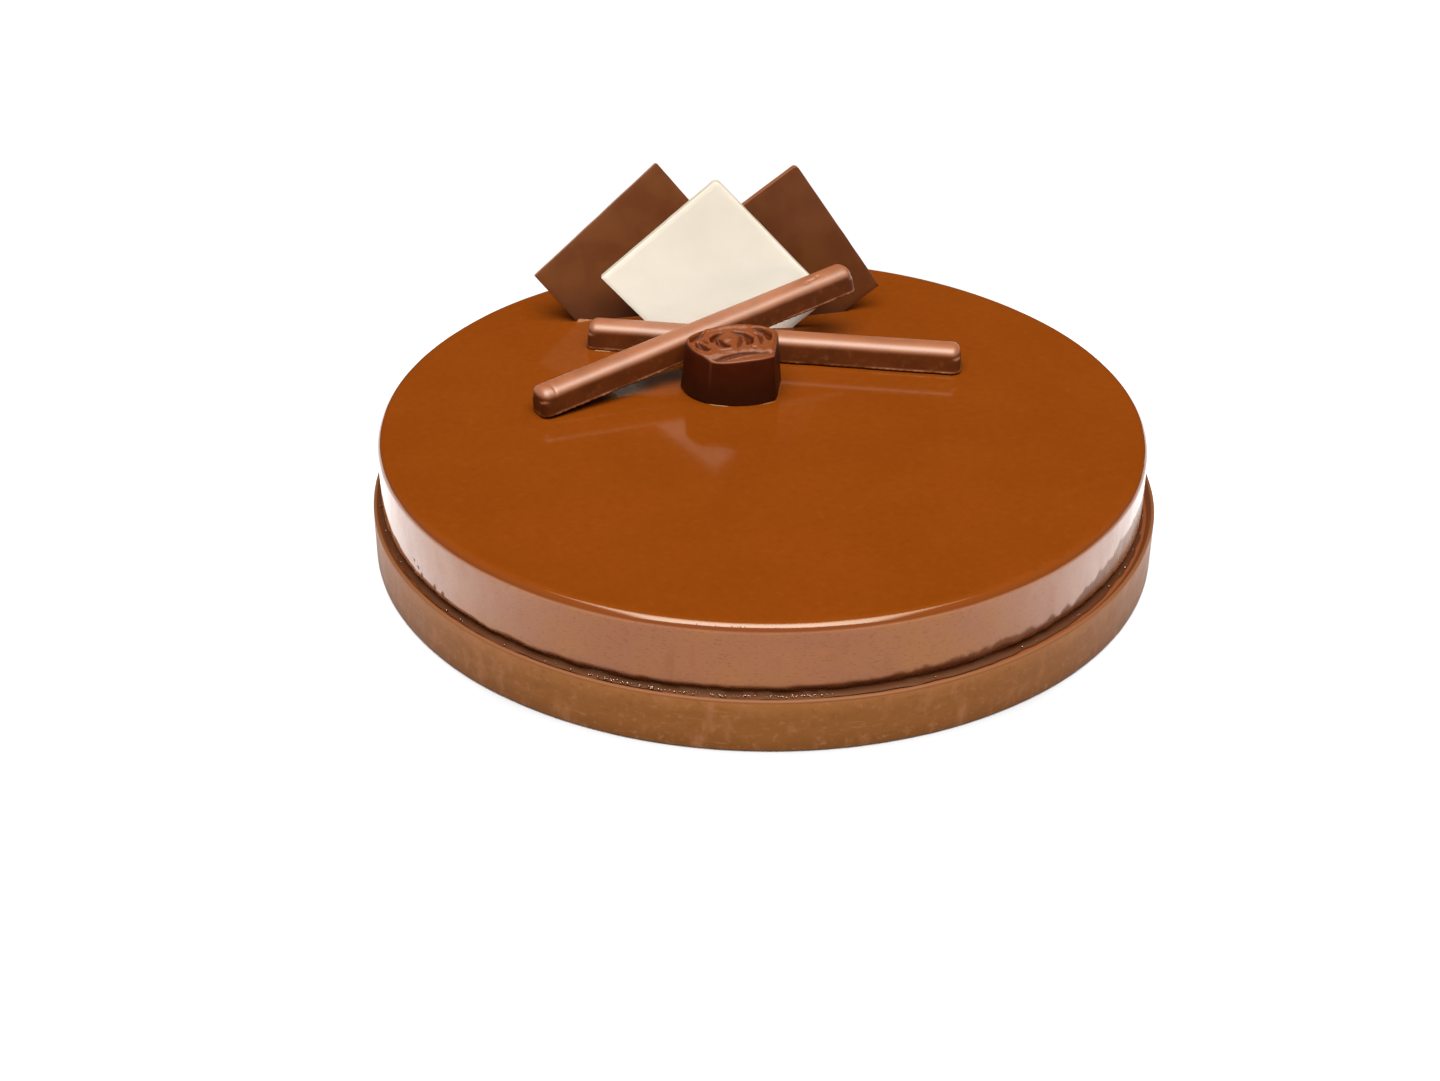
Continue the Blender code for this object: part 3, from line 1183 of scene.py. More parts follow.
@dataclass
class GlazedBody(CakePart):
    """The mousse body under its mirror glaze."""

    radius: float = GLAZE_RADIUS * MM
    offset: float = GLAZE_OFFSET * MM
    bottom: float = 15.9 * MM
    height: float = 40.0 * MM
    edge_round: float = 3.0 * MM
    foot_width: float = 0.8 * MM
    foot_height: float = 4.6 * MM
    undercut: float = 1.5 * MM
    tuck_top: float = 1.7 * MM
    top_rings: tuple[float, ...] = (0.96, 0.92, 0.86, 0.78, 0.68, 0.56, 0.42, 0.26, 0.12, 0.0)
    steps: int = 720

    def build(self, bench: Workbench) -> list[Piece]:
        """Spin the body, then let the wall and the foot run unevenly.

        Args:
            bench: The tools to model with.

        Returns:
            The body.
        """
        under = self.radius - self.undercut
        pool = self.radius + self.foot_width
        lip = (
            (pool - 0.2 * MM, 0.0),
            (pool, 0.2 * MM),
            (pool - 0.4 * MM, 0.5 * MM),
            (pool - 1.0 * MM, 0.75 * MM),
            (under + 0.15 * MM, 1.1 * MM),
            (under, self.tuck_top),
        )
        profile = [(0.0, self.bottom), (self.radius * 0.5, self.bottom)]
        profile += [(reach, self.bottom + rise) for reach, rise in lip]
        for share in (0.2, 0.4, 0.6, 0.8, 1.0):
            rise = self.bottom + self.tuck_top + (self.foot_height - self.tuck_top) * share
            profile.append((under + self.undercut * math.sin(share * math.pi / 2), rise))
        edge = (self.radius - self.edge_round, self.height - self.edge_round)
        foot = (self.radius, self.bottom + self.foot_height)
        profile += stretch(foot, (self.radius, edge[1]), 14)
        profile += arc(edge, self.edge_round, 0, 90, 18)
        profile += [(self.radius * share, self.height) for share in self.top_rings]
        body = bench.lathe("glazed_body", profile, self.steps)
        bench.sculpt(body, self._run)
        bench.smooth(body, 60.0)
        return [body]

    def _run(self, place: Vector) -> Vector:
        """Where the glaze came to rest.

        Args:
            place: The point on the true body.

        Returns:
            The point on the glaze.
        """
        reach = math.hypot(place.x, place.y)
        outer = ramp(reach, self.radius * 0.955, self.radius * 0.995)
        wave = 0.16 * MM * ripple(place, 30 * MM) + 0.035 * MM * ripple(place, 8 * MM, 2.0)
        tuck = ramp(place.z, self.bottom + 1.0 * MM, self.bottom + 2.0 * MM)
        tuck *= ramp(place.z, self.bottom + self.foot_height, self.bottom + 3.0 * MM)
        ragged = ripple(place, 7 * MM, 12.0) + ripple(place, 2.6 * MM, 13.0)
        wave += 0.35 * MM * ragged * tuck
        foot = ramp(place.z, self.bottom + 1.5 * MM, self.bottom + 0.6 * MM)
        pool = 0.5 * MM * ripple(place, 4.5 * MM, 8.0) + 0.3 * MM * ripple(place, 14 * MM, 6.0)
        out = (wave + (pool - 0.2 * MM) * foot) * outer
        rim = ramp(reach, self.radius * 0.9, self.radius * 0.97) * ramp(place.z, 30 * MM, 39 * MM)
        lift = 0.05 * MM * ripple(place, 45 * MM, 4.0) * rim
        return place + outward(place) * out + Vector((self.offset, 0.0, lift))

    def dress(self, pieces: list[Piece]) -> None:
        """Mirror glaze."""
        deliver(pieces[0], Slot.GLAZE, MIRROR_GLAZE.make(), "glazed_mousse")


@dataclass
class ChocolatePlate(CakePart):
    """A thin square plate that stands on a corner in the glaze."""

    node: str
    slot: Slot
    finish: ChocolateFinish
    width: float
    tall: float
    centre: Vector
    heading: float
    lean: float
    spin: float
    blunt: float
    thickness: float = 2.4 * MM
    play: float = 0.02 * MM
    foot_level: float = 27.0 * MM
    edge: float = 0.3 * MM
    corner: float = 0.4 * MM
    cells: int = 28
    wear: float = 0.09 * MM

    def build(self, bench: Workbench) -> list[Piece]:
        """Cut a sheet, thicken it, ease its edges and stand it up.

        Args:
            bench: The tools to model with.

        Returns:
            The plate.
        """
        grid = {"x_subdivisions": self.cells, "y_subdivisions": self.cells}
        bpy.ops.mesh.primitive_grid_add(**grid, size=1.0, rotation=(math.pi / 2, 0, 0))
        plate = bench.fresh(self.node + "_cut")
        bpy.ops.object.transform_apply(location=True, rotation=True, scale=True)
        with bench.editing(plate):
            bpy.ops.mesh.select_all(action="SELECT")
            bpy.ops.transform.resize(value=(self.width, 1.0, self.tall), center_override=(0, 0, 0))
        bench.sculpt(plate, self._trim)
        for top, offset in ((True, self.blunt), (False, self.corner)):
            with bench.editing(plate) as mesh:
                for vertex in mesh.verts:
                    far = min(abs(vertex.co.x) / self.width, abs(vertex.co.z) / self.tall) > 0.49
                    vertex.select = far and (min(vertex.co.x, vertex.co.z) > 0.0) == top
                mesh.select_flush(True)
                bpy.ops.mesh.bevel(offset=offset, segments=5, affect="VERTICES")
        turn = self._turn()
        level = turn.inverted() @ Vector((0, 0, self.foot_level - self.centre.z))
        up = turn.inverted() @ Vector((0, 0, 1))
        with bench.editing(plate):
            bpy.ops.mesh.select_all(action="SELECT")
            bpy.ops.mesh.bisect(plane_co=level, plane_no=up, clear_inner=True)
        bench.modify(plate, "SOLIDIFY", thickness=self.thickness - self.play, offset=0.0)
        limit = {"limit_method": "ANGLE", "angle_limit": 1.0}
        bench.modify(plate, "BEVEL", width=self.edge, segments=3, **limit)
        plate.data.transform(Matrix.Translation(self.centre) @ turn.to_4x4())
        bench.clean(plate)
        bench.smooth(plate, 50.0)
        return [plate]

    def _turn(self) -> Matrix:
        """Turn it out of its own frame, where its front looks along -Y.

        Returns:
            The rotation.
        """
        turn = Matrix.Rotation(math.radians(self.heading), 3, "Z")
        turn = turn @ Matrix.Rotation(math.radians(-self.lean), 3, "X")
        return turn @ Matrix.Rotation(math.radians(-self.spin), 3, "Y")

    def _trim(self, place: Vector) -> Vector:
        """Make a cut edge a little uneven.

        Args:
            place: A point of the flat sheet.

        Returns:
            The point, drawn in a little where it lies on an edge.
        """
        near_side = ramp(abs(place.x) * 2 / self.width, 0.93, 1.0)
        near_end = ramp(abs(place.z) * 2 / self.tall, 0.93, 1.0)
        wear = self.wear * (ripple(place, 7 * MM, self.heading) - 0.6)
        place.x += math.copysign(wear * near_side, place.x)
        place.z += math.copysign(wear * near_end, place.z)
        return place

    def dress(self, pieces: list[Piece]) -> None:
        """Satin chocolate."""
        deliver(pieces[0], self.slot, self.finish.make(), self.node)


@dataclass
class MouldedStick(CakePart):
    """A moulded chocolate stick with a round top edge."""

    node: str
    centre: Vector
    heading: float
    pitch: float
    length: float
    voxel: float = 0.34 * MM
    height: float = 8.8 * MM
    half_width: float = 5.0 * MM
    draft: float = 0.42 * MM
    crown: float = 3.5 * MM
    end_crown: float = 3.2 * MM
    crown_power: float = 2.45
    burr: float = 0.3 * MM
    marks: tuple[tuple[Vector, Vector, float], ...] = ()

    def build(self, bench: Workbench) -> list[Piece]:
        """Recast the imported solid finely, then mark it as the mould and the hand did.

        Args:
            bench: The tools to model with.

        Returns:
            The stick.
        """
        stick = bench.cast(self.node + "_cast", self.node)
        bench.modify(stick, "REMESH", mode="VOXEL", voxel_size=self.voxel, use_smooth_shade=True)
        place = Matrix.Translation(self.centre)
        place = place @ Matrix.Rotation(math.radians(self.heading), 4, "Z")
        place = place @ Matrix.Rotation(-math.radians(self.pitch), 4, "Y")
        back = place.inverted()
        bench.sculpt(stick, lambda point: place @ self._crown(back @ point))
        bench.modify(stick, "SMOOTH", factor=0.5, iterations=6)
        bench.sculpt(stick, lambda point: place @ self._mark(back @ point))
        bench.take(stick)
        bpy.ops.object.shade_smooth()
        return [stick]

    def _mark(self, own: Vector) -> Vector:
        """Make the stick uneven, with a burr at its foot and its own dents.

        Args:
            own: A point in the stick's own frame.

        Returns:
            Where it really lies.
        """
        own.z += 0.10 * MM * ripple(own, 16 * MM, self.heading) * ramp(own.z, 2 * MM, 8 * MM)
        own.y += 0.08 * MM * ripple(own, 13 * MM, self.pitch + 3.0)
        flash = self.burr * ramp(own.z, 0.9 * MM, 0.3 * MM) * (0.6 + 0.8 * ripple(own, 5 * MM, 2.0))
        half = self.length / 2
        side = ramp(abs(own.y), self.half_width - 1.2 * MM, self.half_width - 0.2 * MM)
        end = ramp(abs(own.x), half - 1.5 * MM, half - 0.3 * MM)
        own.y += math.copysign(flash * side, own.y)
        own.x += math.copysign(flash * end, own.x)
        for middle, spread, depth in self.marks:
            away = own - middle
            fall = sum((away[axis] / spread[axis]) ** 2 for axis in range(3))
            own.z -= depth * math.exp(-fall)
        return own

    def _crown(self, own: Vector) -> Vector:
        """Round the top over to the sides and the ends.

        Args:
            own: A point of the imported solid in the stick's own frame.

        Returns:
            The point, drawn in where it lies outside the crown.
        """
        start = self.height - self.crown
        if own.z <= start:
            return own
        straight = self.length / 2 - self.draft - self.end_crown
        along = max(0.0, abs(own.x) - straight) / self.end_crown
        across = own.y / (self.half_width - self.draft)
        rise = (own.z - start) / self.crown
        power = self.crown_power
        scale = min(1.0, (along ** power + abs(across) ** power + rise ** power) ** (-1 / power))
        if along > 0.0:
            own.x = math.copysign(straight + (abs(own.x) - straight) * scale, own.x)
        own.y *= scale
        own.z = start + (own.z - start) * scale
        return own

    def dress(self, pieces: list[Piece]) -> None:
        """Moulded milk chocolate."""
        deliver(pieces[0], Slot.MOULDED, MOULDED.make(), self.node)


@dataclass(frozen=True)
class Furrow:
    """A curved hollow of the praline's relief, in millimetres of its own frame."""

    course: tuple[Point, ...]
    width: float
    depth: float
    cuts: int = 6
    end_taper: float = 0.14
    middle_taper: float = 0.72
    reach: float = 3.4

    def trace(self) -> list[Point3]:
        """Its middle line, thinner towards both ends.

        Returns:
            Points as across, along and share of the full width.
        """
        lengths = [math.dist(a, b) for a, b in pairwise(self.course)]
        total = sum(lengths)
        line = []
        passed = 0.0
        for (a, b), length in zip(pairwise(self.course), lengths):
            for step in range(self.cuts):
                share = step / self.cuts
                run = self.end_taper + self.middle_taper * (passed + length * share) / total
                place = (a[0] + (b[0] - a[0]) * share, a[1] + (b[1] - a[1]) * share)
                line.append((*place, math.sin(math.pi * run)))
            passed += length
        line.append((*self.course[-1], math.sin(math.pi * self.end_taper)))
        return line

    def at(self, point: Vector, line: list[Point3]) -> float:
        """How deep it is at a point.

        Args:
            point: The point.
            line: Its middle line.

        Returns:
            The depth: a round bed with a soft slope beside it.
        """
        depth = 0.0
        for x, y, taper in line:
            away = math.hypot(point.x - x, point.y - y) / (self.width * taper)
            if away < self.reach:
                bed = 0.8 * math.exp(-(away ** 4))
                depth = max(depth, taper * (bed + 0.3 * math.exp(-((away / 1.8) ** 2))))
        return self.depth * depth


@dataclass
class Praline(CakePart):
    """A moulded praline: a flared foot, a raised lip and a rose in relief."""

    furrows: tuple[Furrow, ...]
    flare: float = 1.1
    lip_round: float = 0.7
    lip_rise: float = 0.45
    front_half: float = 10.2
    front_bulge: float = 2.5
    left_bulge: float = 1.4
    left_way: Point = (0.85, 0.53)
    shoulder_left: Point = (-17.2, 11.0)
    shoulder_right: Point = (13.0, TOP.back)
    back_depth: float = 7.2
    middle: Point = (-3.6, 10.6)
    rings: int = 96
    innermost: float = 0.955
    steps: int = 2
    ease: int = 12
    crest: Point = (2.5, 4.7)
    crest_bend: float = 0.02
    crest_width: float = 0.5
    bud: Point = (-3.6, 11.3)
    bud_height: float = 0.5

    def build(self, bench: Workbench) -> list[Piece]:
        """Raise the sides from the outline, then ring the top inwards with its relief.

        Args:
            bench: The tools to model with.

        Returns:
            The praline.
        """
        outline = self._outline()
        foot = self._eased([Vector((x * self.flare, y * self.flare, 0.0)) for x, y in outline])
        rim = TOP.height - self.lip_round
        lips = [
            self._ring(outline, 1.0, self.lip_round * (1 - across), rim + self.lip_round * rise)
            for across, rise in arc((0.0, 0.0), 1.0, 0, 90, 6)
        ]
        sides = [[a.lerp(b, step / 10) for a, b in zip(foot, lips[0])] for step in range(1, 10)]
        rings = [foot, *sides, *lips]
        traces = [(furrow, furrow.trace()) for furrow in self.furrows]
        for step in range(1, self.rings):
            share = self.innermost * (1.0 - step / self.rings)
            plain = self._ring(outline, share, 0.0, TOP.height)
            rings.append([self._cut(point, share, traces) for point in plain])
        turn = Matrix.Rotation(math.radians(TOP.heading), 4, "Z")
        place = Matrix.Translation(Vector((*TOP.place, TOP.bottom)) * MM)
        stand = place @ turn @ Matrix.Scale(MM, 4)
        praline = bench.loft("praline_cast", [[stand @ point for point in ring] for ring in rings])
        bench.modify(praline, "SMOOTH", factor=0.5, iterations=2)
        bench.smooth(praline, 50.0)
        return [praline]

    def _eased(self, ring: list[Vector]) -> list[Vector]:
        """Round the front right corner of the foot.

        Args:
            ring: The foot's ring of points.

        Returns:
            The ring with that corner round.
        """
        eased = []
        for index, point in enumerate(ring):
            near = [ring[(index + step) % len(ring)] for step in range(-self.ease, self.ease + 1)]
            middle = sum(near, Vector()) / len(near)
            eased.append(point.lerp(middle, ramp(point.x, 3.0, 8.0) * ramp(point.y, 10.0, 5.0)))
        return eased

    def _outline(self) -> list[Point]:
        """The outline of the top: a bulging front, flared sides and a domed back.

        Returns:
            The points, anticlockwise from the left front corner.
        """
        radius = (self.front_half ** 2 + self.front_bulge ** 2) / (2 * self.front_bulge)
        half = math.degrees(math.asin(self.front_half / radius))
        fine = self.steps
        points = arc((0.0, radius - self.front_bulge), radius, 270 - half, 270 + half, 36 * fine)
        points += stretch((self.front_half, 0.0), self.shoulder_right, 24 * fine)
        left, right = self.shoulder_left, self.shoulder_right
        middle = [(a + b) / 2 for a, b in zip(left, right)]
        reach = [(b - a) / 2 for a, b in zip(left, right)]
        for across, rise in arc((0.0, 0.0), 1.0, 0, 180, 72 * fine):
            y = middle[1] + reach[1] * across + self.back_depth * rise
            points.append((middle[0] + reach[0] * across, y))
        side = stretch(left, (-self.front_half, 0.0), 24 * fine)
        for step, (x, y) in enumerate(side):
            swell = self.left_bulge * math.sin(math.pi * step / len(side))
            points.append((x - self.left_way[0] * swell, y - self.left_way[1] * swell))
        return points

    def _ring(
        self, outline: list[Point], share: float, inset: float, height: float
    ) -> list[Vector]:
        """One ring of points of the plain top.

        Args:
            outline: The outline at full size.
            share: Size of the ring as a share of it.
            inset: Distance that it lies further in.
            height: Its height at the front.

        Returns:
            The ring in the praline's own frame.
        """
        ring = []
        for x, y in outline:
            dx, dy = x - self.middle[0], y - self.middle[1]
            scale = share - inset / math.hypot(dx, dy)
            px, py = self.middle[0] + dx * scale, self.middle[1] + dy * scale
            z = height + TOP.back_rise * max(py, 0.0) / TOP.back
            z -= TOP.front_drop * ramp(py, *TOP.drop_along) * ramp(px, *TOP.drop_across)
            ring.append(Vector((px, py, z)))
        return ring

    def _cut(
        self, point: Vector, share: float, traces: list[tuple[Furrow, list[Point3]]]
    ) -> Vector:
        """Press the relief into one point of the top.

        Args:
            point: The point on the plain top.
            share: How far out it lies, 1 at the outline.
            traces: The furrows with their middle lines.

        Returns:
            The point in relief.
        """
        lip = self.lip_rise * (1.0 + 0.7 * ripple(point, 2.4, 5.0))
        ends = ramp(share, 0.72, 0.88) * ramp(share, 0.97, 0.93)
        point.z += lip * ramp(point.y, 2.2, 4.2) * ends
        crest = self.crest[1] - self.crest_bend * (point.x - self.crest[0]) ** 2
        ridge = 0.45 * lip * math.exp(-(((point.y - crest) / self.crest_width) ** 2))
        point.z += ridge * ramp(share, 0.97, 0.85) * ramp(point.x, 9.0, 5.0)
        away = (point.x - self.bud[0]) ** 2 + (point.y - self.bud[1]) ** 2
        point.z += self.bud_height * math.exp(-away / 3.0)
        for furrow, line in traces:
            point.z -= furrow.at(point, line)
        rough = 0.09 * ripple(point, 0.9) + 0.17 * ripple(point, 1.9, 2.0)
        point.z += rough * ramp(share, 1.0, 0.9)
        return point

    def dress(self, pieces: list[Piece]) -> None:
        """Dark moulded chocolate."""
        deliver(pieces[0], Slot.DARK, DARK.make(), "praline")


@dataclass(frozen=True)
class Fillet:
    """How glaze stands up round the foot of one node."""

    level: float
    wide: float
    high: float
    flat_beyond: float = 1.0
    swell: Vector | None = None
    swell_reach: float = 4.0 * MM

    def size(self, point: Vector) -> tuple[float, float]:
        """Its size at one point of the node's outline.

        Args:
            point: The point.

        Returns:
            Its width and its height.
        """
        wide = self.wide * (1.0 + 0.4 * ripple(point, 6 * MM, 1.0))
        high = self.high * (1.0 + 0.5 * ripple(point, 4 * MM, 4.0))
        high *= ramp(point.x, self.flat_beyond + 8 * MM, self.flat_beyond)
        if self.swell is not None:
            near = math.exp(-(((point - self.swell).length / self.swell_reach) ** 2))
            wide, high = wide * (1.0 + 1.4 * near), high * (1.0 + 2.4 * near)
        return wide, high


@dataclass
class GlazeCollars(CakePart):
    """Glaze that stands up a little round each thing that is set in it."""

    nodes: dict[str, Fillet]
    surface: float = 40.02 * MM
    sink: float = 0.35 * MM
    overlap_mm: float = 0.25
    dip: float = 0.012 * MM
    hollow: float = 2.2
    stages: int = 7
    pitch: float = 0.7 * MM

    def build(self, bench: Workbench) -> list[Piece]:
        """A fillet of glaze round the foot of each node."""
        return [self._collar(bench, node, fillet) for node, fillet in self.nodes.items()]

    def _collar(self, bench: Workbench, node: str, fillet: Fillet) -> Piece:
        """One collar.

        Args:
            bench: The tools to model with.
            node: The node that it goes round.
            fillet: Its form.

        Returns:
            The collar, a closed ring.
        """
        outline = bench.outline(node, fillet.level, self.pitch)
        count = len(outline)
        shares = [step / self.stages for step in range(self.stages + 1)]
        sink = Vector((0, 0, self.sink))
        rings: list[list[Vector]] = [[] for _ in range(len(shares) + 2)]
        for index, point in enumerate(outline):
            along = outline[(index + 2) % count] - outline[index - 2]
            out = Vector((along.y, -along.x, 0.0)).normalized()
            width, height = fillet.size(point)
            base = Vector((point.x, point.y, self.surface)) - out * self.overlap_mm * MM
            rings[0].append(base - sink)
            for place, share in enumerate(shares):
                rise = height * (1.0 - share) ** self.hollow - self.dip * share
                rings[place + 1].append(base + out * (width * share) + Vector((0, 0, rise)))
            rings[-1].append(base + out * width - sink)
        collar = bench.loft("glaze_collar_" + node, rings, tube=True)
        bench.smooth(collar, 50.0)
        return collar

    def dress(self, pieces: list[Piece]) -> None:
        """The same mirror glaze as the body."""
        for piece in pieces:
            deliver(piece, Slot.GLAZE, bpy.data.materials[MIRROR_GLAZE.name])


@dataclass
class GlazeBubbles(CakePart):
    """Tiny bubbles that were caught in the glaze, with turns in degrees."""

    foot_count: int = 200
    foot_radius: float = 122.2 * MM
    foot_depth_mm: float = 0.9
    foot_level: float = 16.1 * MM
    foot_rise_mm: Point = (0.5, 0.9)
    foot_size_mm: Point = (0.15, 0.4)
    foot_turn: Point = (-178, 178)
    clustered: float = 0.6
    cluster: Point = (-98, 9)
    rim_count: int = 14
    rim_radius_mm: float = 120.65
    rim_turn: Point = (-99.7, -93.0)
    rim_level_mm: Point = (38.9, 39.25)
    rim_size_mm: Point = (0.14, 0.26)
    seed: int = 11

    def build(self, bench: Workbench) -> list[Piece]:
        """Copy one small dome to every place.

        Args:
            bench: The tools to model with.

        Returns:
            The bubbles as one piece.
        """
        chance = random.Random(self.seed)
        spots: list[tuple[Vector, float]] = []
        for _ in range(self.foot_count):
            near = chance.random() < self.clustered
            turn = chance.gauss(*self.cluster) if near else chance.uniform(*self.foot_turn)
            angle = math.radians(turn)
            reach = self.foot_radius - chance.uniform(0.0, self.foot_depth_mm) * MM
            across = reach * math.cos(angle) + GLAZE_OFFSET * MM
            place = Vector((across, reach * math.sin(angle), 0.0))
            place.z = self.foot_level + chance.uniform(*self.foot_rise_mm) * MM
            spots.append((place, chance.uniform(*self.foot_size_mm) * MM))
        for _ in range(self.rim_count):
            angle = math.radians(chance.uniform(*self.rim_turn))
            across = self.rim_radius_mm * math.cos(angle) + GLAZE_OFFSET
            place = Vector((across, self.rim_radius_mm * math.sin(angle), 0.0)) * MM
            place.z = chance.uniform(*self.rim_level_mm) * MM
            spots.append((place, chance.uniform(*self.rim_size_mm) * MM))
        bpy.ops.mesh.primitive_ico_sphere_add(subdivisions=1, radius=1.0)
        pattern = bench.fresh("bubble_pattern")
        bench.modify(pattern, "SUBSURF", levels=1)
        copies = []
        for place, size in spots:
            mesh = pattern.data.copy()
            mesh.transform(Matrix.Translation(place) @ Matrix.Scale(size, 4))
            copy = bpy.data.objects.new("bubble", mesh)
            bpy.context.scene.collection.objects.link(copy)
            copies.append(copy)
        bpy.data.objects.remove(pattern)
        bench.take(copies[0])
        for copy in copies:
            copy.select_set(True)
        bpy.ops.object.join()
        bubbles = bench.fresh("glaze_bubbles")
        bpy.ops.object.shade_smooth()
        return [bubbles]

    def dress(self, pieces: list[Piece]) -> None:
        """Glossy glaze."""
        deliver(pieces[0], Slot.GLAZE, BUBBLE.make())


@dataclass
class Studio:
    """A pale floor, painted lighter at the sides, under a high soft light, and the camera."""

    lens: float = 56.913
    camera_place: Vector = Vector((-13.848, -639.752, 381.671)) * MM
    elevation: float = 31.2385
    roll: float = 0.1501
    floor_span: float = 8.0
    floor_level: float = -0.05 * MM
    # Painted light: the floor is darker in a middle strip and lighter at both sides.
    floor_dim_middle: float = 0.32
    floor_lit_sides: float = 0.6
    floor_tint: Point3 = (1.0, 1.02, 1.12)
    floor_middle: Point = (0.07 ** 2, 0.14 ** 2)
    key: float = 13.0
    fill: float = 0.4
    dark: float = 0.02
    warmth: Colour = (1.0, 0.98, 0.9, 1.0)
    white: Colour = (1.0, 1.0, 1.0, 1.0)
    box_width: Point = (0.55 ** 2, 0.37 ** 2)
    box_near: Point = (-0.69, -0.61)
    box_far: Point = (0.22, 0.04)

    def build(self) -> None:
        """Make the floor, the light and the camera."""
        self._floor()
        self._light()
        self._camera()

    def _floor(self) -> None:
        """A pale floor just under the cake, painted lighter at both sides as pools of light."""
        place = (0.0, 0.0, self.floor_level)
        bpy.ops.mesh.primitive_plane_add(size=self.floor_span, location=place)
        floor = bpy.context.object
        floor.name = "studio_floor"
        paint = Paint("studio_floor")
        near, far = (
            (*(tone * tint for tint in self.floor_tint), 1.0)
            for tone in (self.floor_dim_middle, self.floor_lit_sides)
        )
        # Painted light: lighter floor away from the middle strip.
        tone = paint.blend((paint.x * paint.x).step(*self.floor_middle), near, far)
        floor.data.materials.append(paint.finish({"Base Color": tone, "Roughness": 0.9}))

    def _light(self) -> None:
        """A softbox high in front, weak light round it and darkness low behind."""
        scene = bpy.context.scene
        scene.world = bpy.data.worlds.new("studio")
        scene.world.use_nodes = True
        graph = Graph(scene.world.node_tree, "Generated")
        x, y, z = graph.x, graph.y, graph.z
        softbox = (x * x).step(*self.box_width) * y.step(*self.box_near) * y.step(*self.box_far)
        behind = y.step(0.35, 0.65) * z.step(0.75, 0.6)
        weak = z.step(0.0, 0.05) * (1.0 - behind) * (y.step(0.0, -0.7) * 0.7 + 0.3) * self.fill
        glow = softbox * z.step(0.0, 0.2) * self.key + weak + self.dark
        camera = graph.node("ShaderNodeLightPath", output="Is Camera Ray")
        tint = graph.blend(camera, self.warmth, self.white)
        strength = glow * (1.0 - camera) + camera
        graph.feed(graph.tree.nodes["Background"], {"Strength": strength, "Color": tint})
        scene.view_settings.view_transform = "Standard"
        scene.view_settings.look = "None"

    def _camera(self) -> None:
        """The photograph's own viewpoint."""
        lift = math.radians(self.elevation)
        roll = math.radians(self.roll)
        back = Vector((0.0, -math.cos(lift), math.sin(lift)))
        right = Vector((1.0, 0.0, 0.0))
        up = back.cross(right)
        across = right * math.cos(roll) + up * math.sin(roll)
        upward = up * math.cos(roll) - right * math.sin(roll)
        turn = Matrix((across, upward, back)).transposed().to_4x4()
        data = bpy.data.cameras.new("camera")
        data.lens = self.lens
        data.sensor_width = 36.0
        data.sensor_fit = "HORIZONTAL"
        data.clip_start = 0.01
        data.clip_end = 50.0
        camera = bpy.data.objects.new("camera", data)
        camera.matrix_world = Matrix.Translation(self.camera_place) @ turn
        bpy.context.scene.collection.objects.link(camera)
        bpy.context.scene.camera = camera


ROSE = (
    Furrow(((-15.7, 10.0), (-14.8, 12.4), (-12.8, 14.0), (-11.1, 16.0)), 1.05, 1.6),
    Furrow(((-13.5, 9.9), (-12.9, 7.9), (-11.7, 6.3), (-10.0, 5.9)), 1.4, 1.7),
    Furrow(((-8.8, 10.2), (-8.3, 12.3), (-6.8, 13.9), (-5.3, 15.2)), 1.0, 1.6),
    Furrow(((-6.7, 11.4), (-6.3, 9.2), (-5.1, 7.9), (-3.4, 7.2)), 1.2, 1.7),
    Furrow(((-1.2, 15.3), (1.4, 14.2), (3.3, 12.0), (3.4, 9.2), (2.5, 8.0)), 1.3, 1.7),
    Furrow(((0.4, 12.6), (0.5, 10.4), (-0.2, 8.0), (-0.8, 5.8)), 0.75, 0.75),
    Furrow(((5.4, 16.8), (8.2, 15.3), (9.8, 12.7), (9.7, 9.4)), 1.05, 1.6),
    Furrow(((5.4, 14.6), (6.9, 12.4), (7.2, 10.0), (6.8, 7.6)), 0.7, 0.8),
    Furrow(((-11.9, 12.4), (-10.9, 10.6), (-9.9, 9.0)), 0.6, 0.6),
    Furrow(((-7.6, 5.2), (-5.2, 4.9), (-2.6, 5.3)), 0.5, 0.5),
    Furrow(((3.6, 6.6), (4.6, 6.0), (5.4, 6.2)), 0.5, 0.4),
    Furrow(((-6.4, -0.9), (-2.4, -0.1), (2.0, 0.6), (6.0, 1.0)), 0.4, 0.35),
    Furrow(
        (
            (-10.4, 0.0),
            (-8.6, 0.1),
            (-6.4, 0.8),
            (-3.3, 1.7),
            (-0.4, 2.4),
            (3.6, 2.7),
            (7.8, 2.4),
            (10.4, 1.6),
        ),
        0.95,
        1.3,
    ),
)
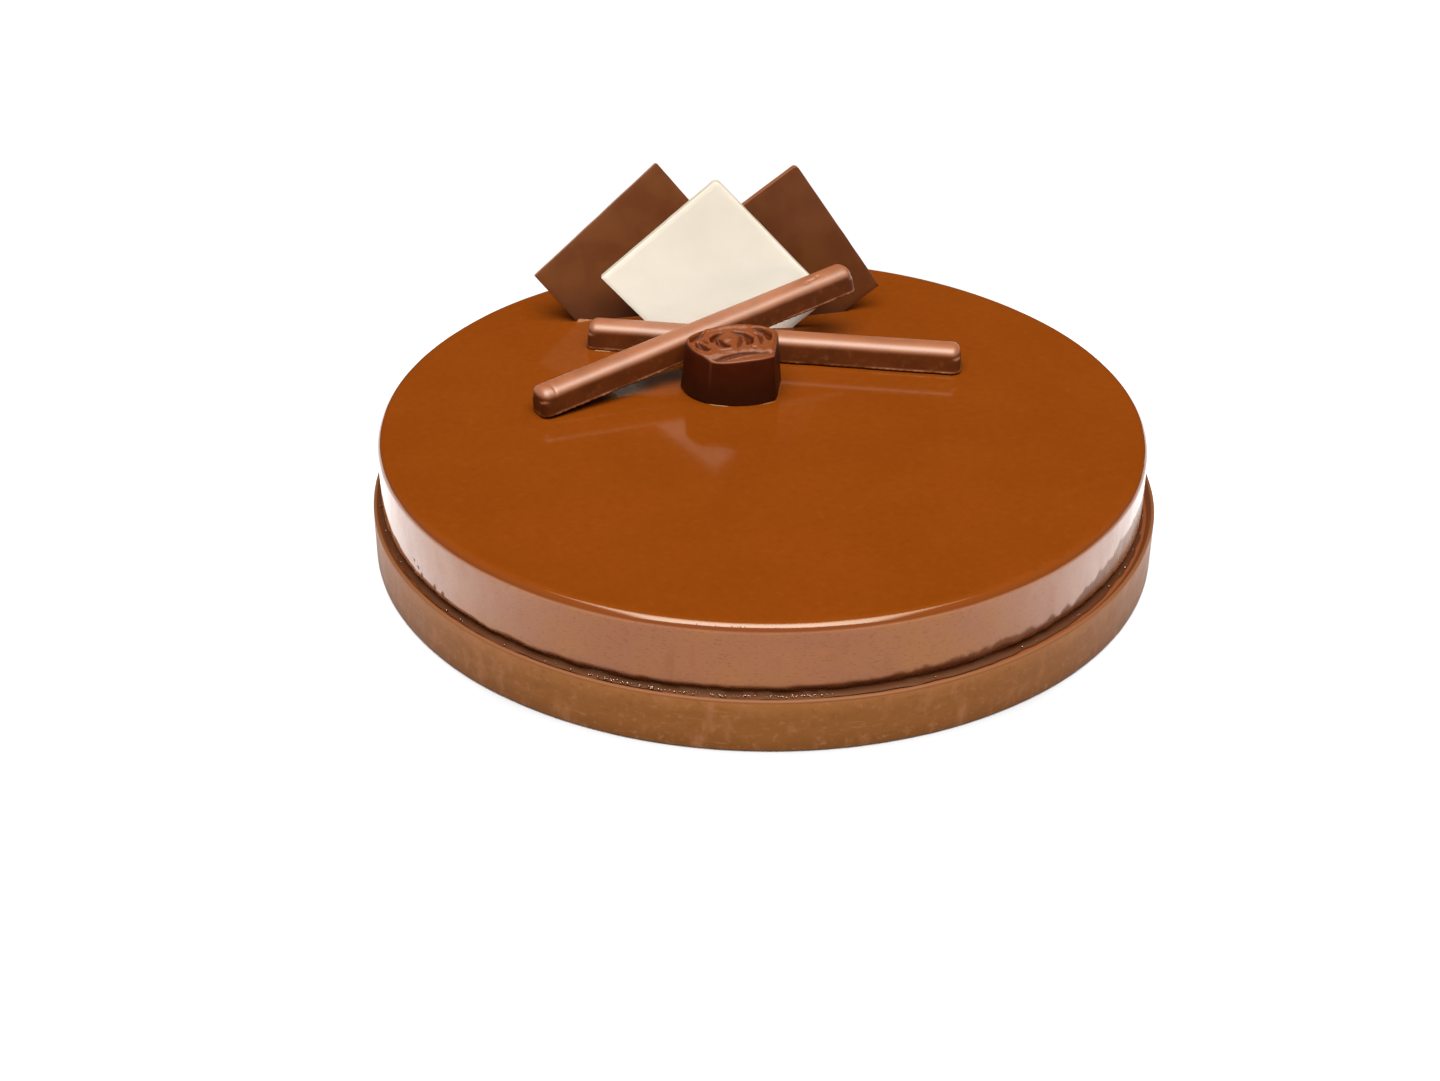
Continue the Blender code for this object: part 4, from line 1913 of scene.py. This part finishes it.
LEANING_MARKS = tuple(
    (Vector(middle) * MM, Vector(spread) * MM, depth * MM)
    for middle, spread, depth in (
        ((-54.6, -2.4, 7.6), (0.4, 2.6, 2.4), 0.35),
        ((-56.6, -1.0, 8.4), (1.6, 2.4, 1.6), -0.2),
        ((45.0, -1.2, 8.6), (2.6, 0.4, 1.6), 0.4),
        ((47.8, -0.6, 8.6), (0.8, 0.5, 1.6), 0.4),
        ((42.6, -1.9, 8.6), (0.9, 0.35, 1.6), 0.35),
    )
)


def parts() -> list[CakePart]:
    """Every sub-assembly of the cake, in the order that it is made.

    Returns:
        The sub-assemblies.
    """
    left = ("milk_plate_left", Slot.MILK, MILK_PLATE)
    right = ("milk_plate_right", Slot.MILK, MILK_PLATE_RIGHT)
    white = ("white_plate", Slot.WHITE, WHITE_PLATE)
    plates = [
        (left, (56.5, 56.3), (-38.4, 78.2, 51.4), (12.5, 17.3, 37.9), 0.6),
        (right, (54.1, 53.9), (4.4, 73.6, 56.1), (14.4, 6.8, 32.7), 1.5),
        (white, (51.8, 58.2), (-15.5, 63.5, 55.7), (3.4, -0.4, 41.6), 2.4),
    ]
    flat, leaning, swell = (
        Vector(place) * MM
        for place in ((3.6, 42.2, 40.3), (-21.1, 32.1, 48.1), (-61.0, 65.5, 40.2))
    )
    return [
        BaseDisc(),
        GlazedBody(),
        *(
            ChocolatePlate(*named, *metres(*size), Vector(centre) * MM, *angles, blunt * MM)
            for named, size, centre, angles, blunt in plates
        ),
        MouldedStick("stick_flat", flat, -8.5, 0.0, 125.2 * MM),
        MouldedStick("stick_leaning", leaning, 32.1, 7.35, 120.8 * MM, marks=LEANING_MARKS),
        Praline(ROSE),
        GlazeCollars({
            "milk_plate_left": Fillet(*metres(40.2, 0.9, 0.3), swell=swell),
            "milk_plate_right": Fillet(*metres(40.2, 0.7, 0.15)),
            "white_plate": Fillet(*metres(40.2, 0.7, 0.15)),
            "stick_flat": Fillet(*metres(40.9, 1.0, 0.6), flat_beyond=-52 * MM),
            "praline": Fillet(*metres(40.6, 0.7, 0.3)),
        }),
        GlazeBubbles(),
    ]


def main() -> None:
    """Build the studio and every part of the cake."""
    logging.basicConfig(level=logging.INFO, format="%(name)s: %(message)s")
    Studio().build()
    bench = Workbench()
    for part in parts():
        part.dress(part.build(bench))


if __name__ == "__main__":
    main()
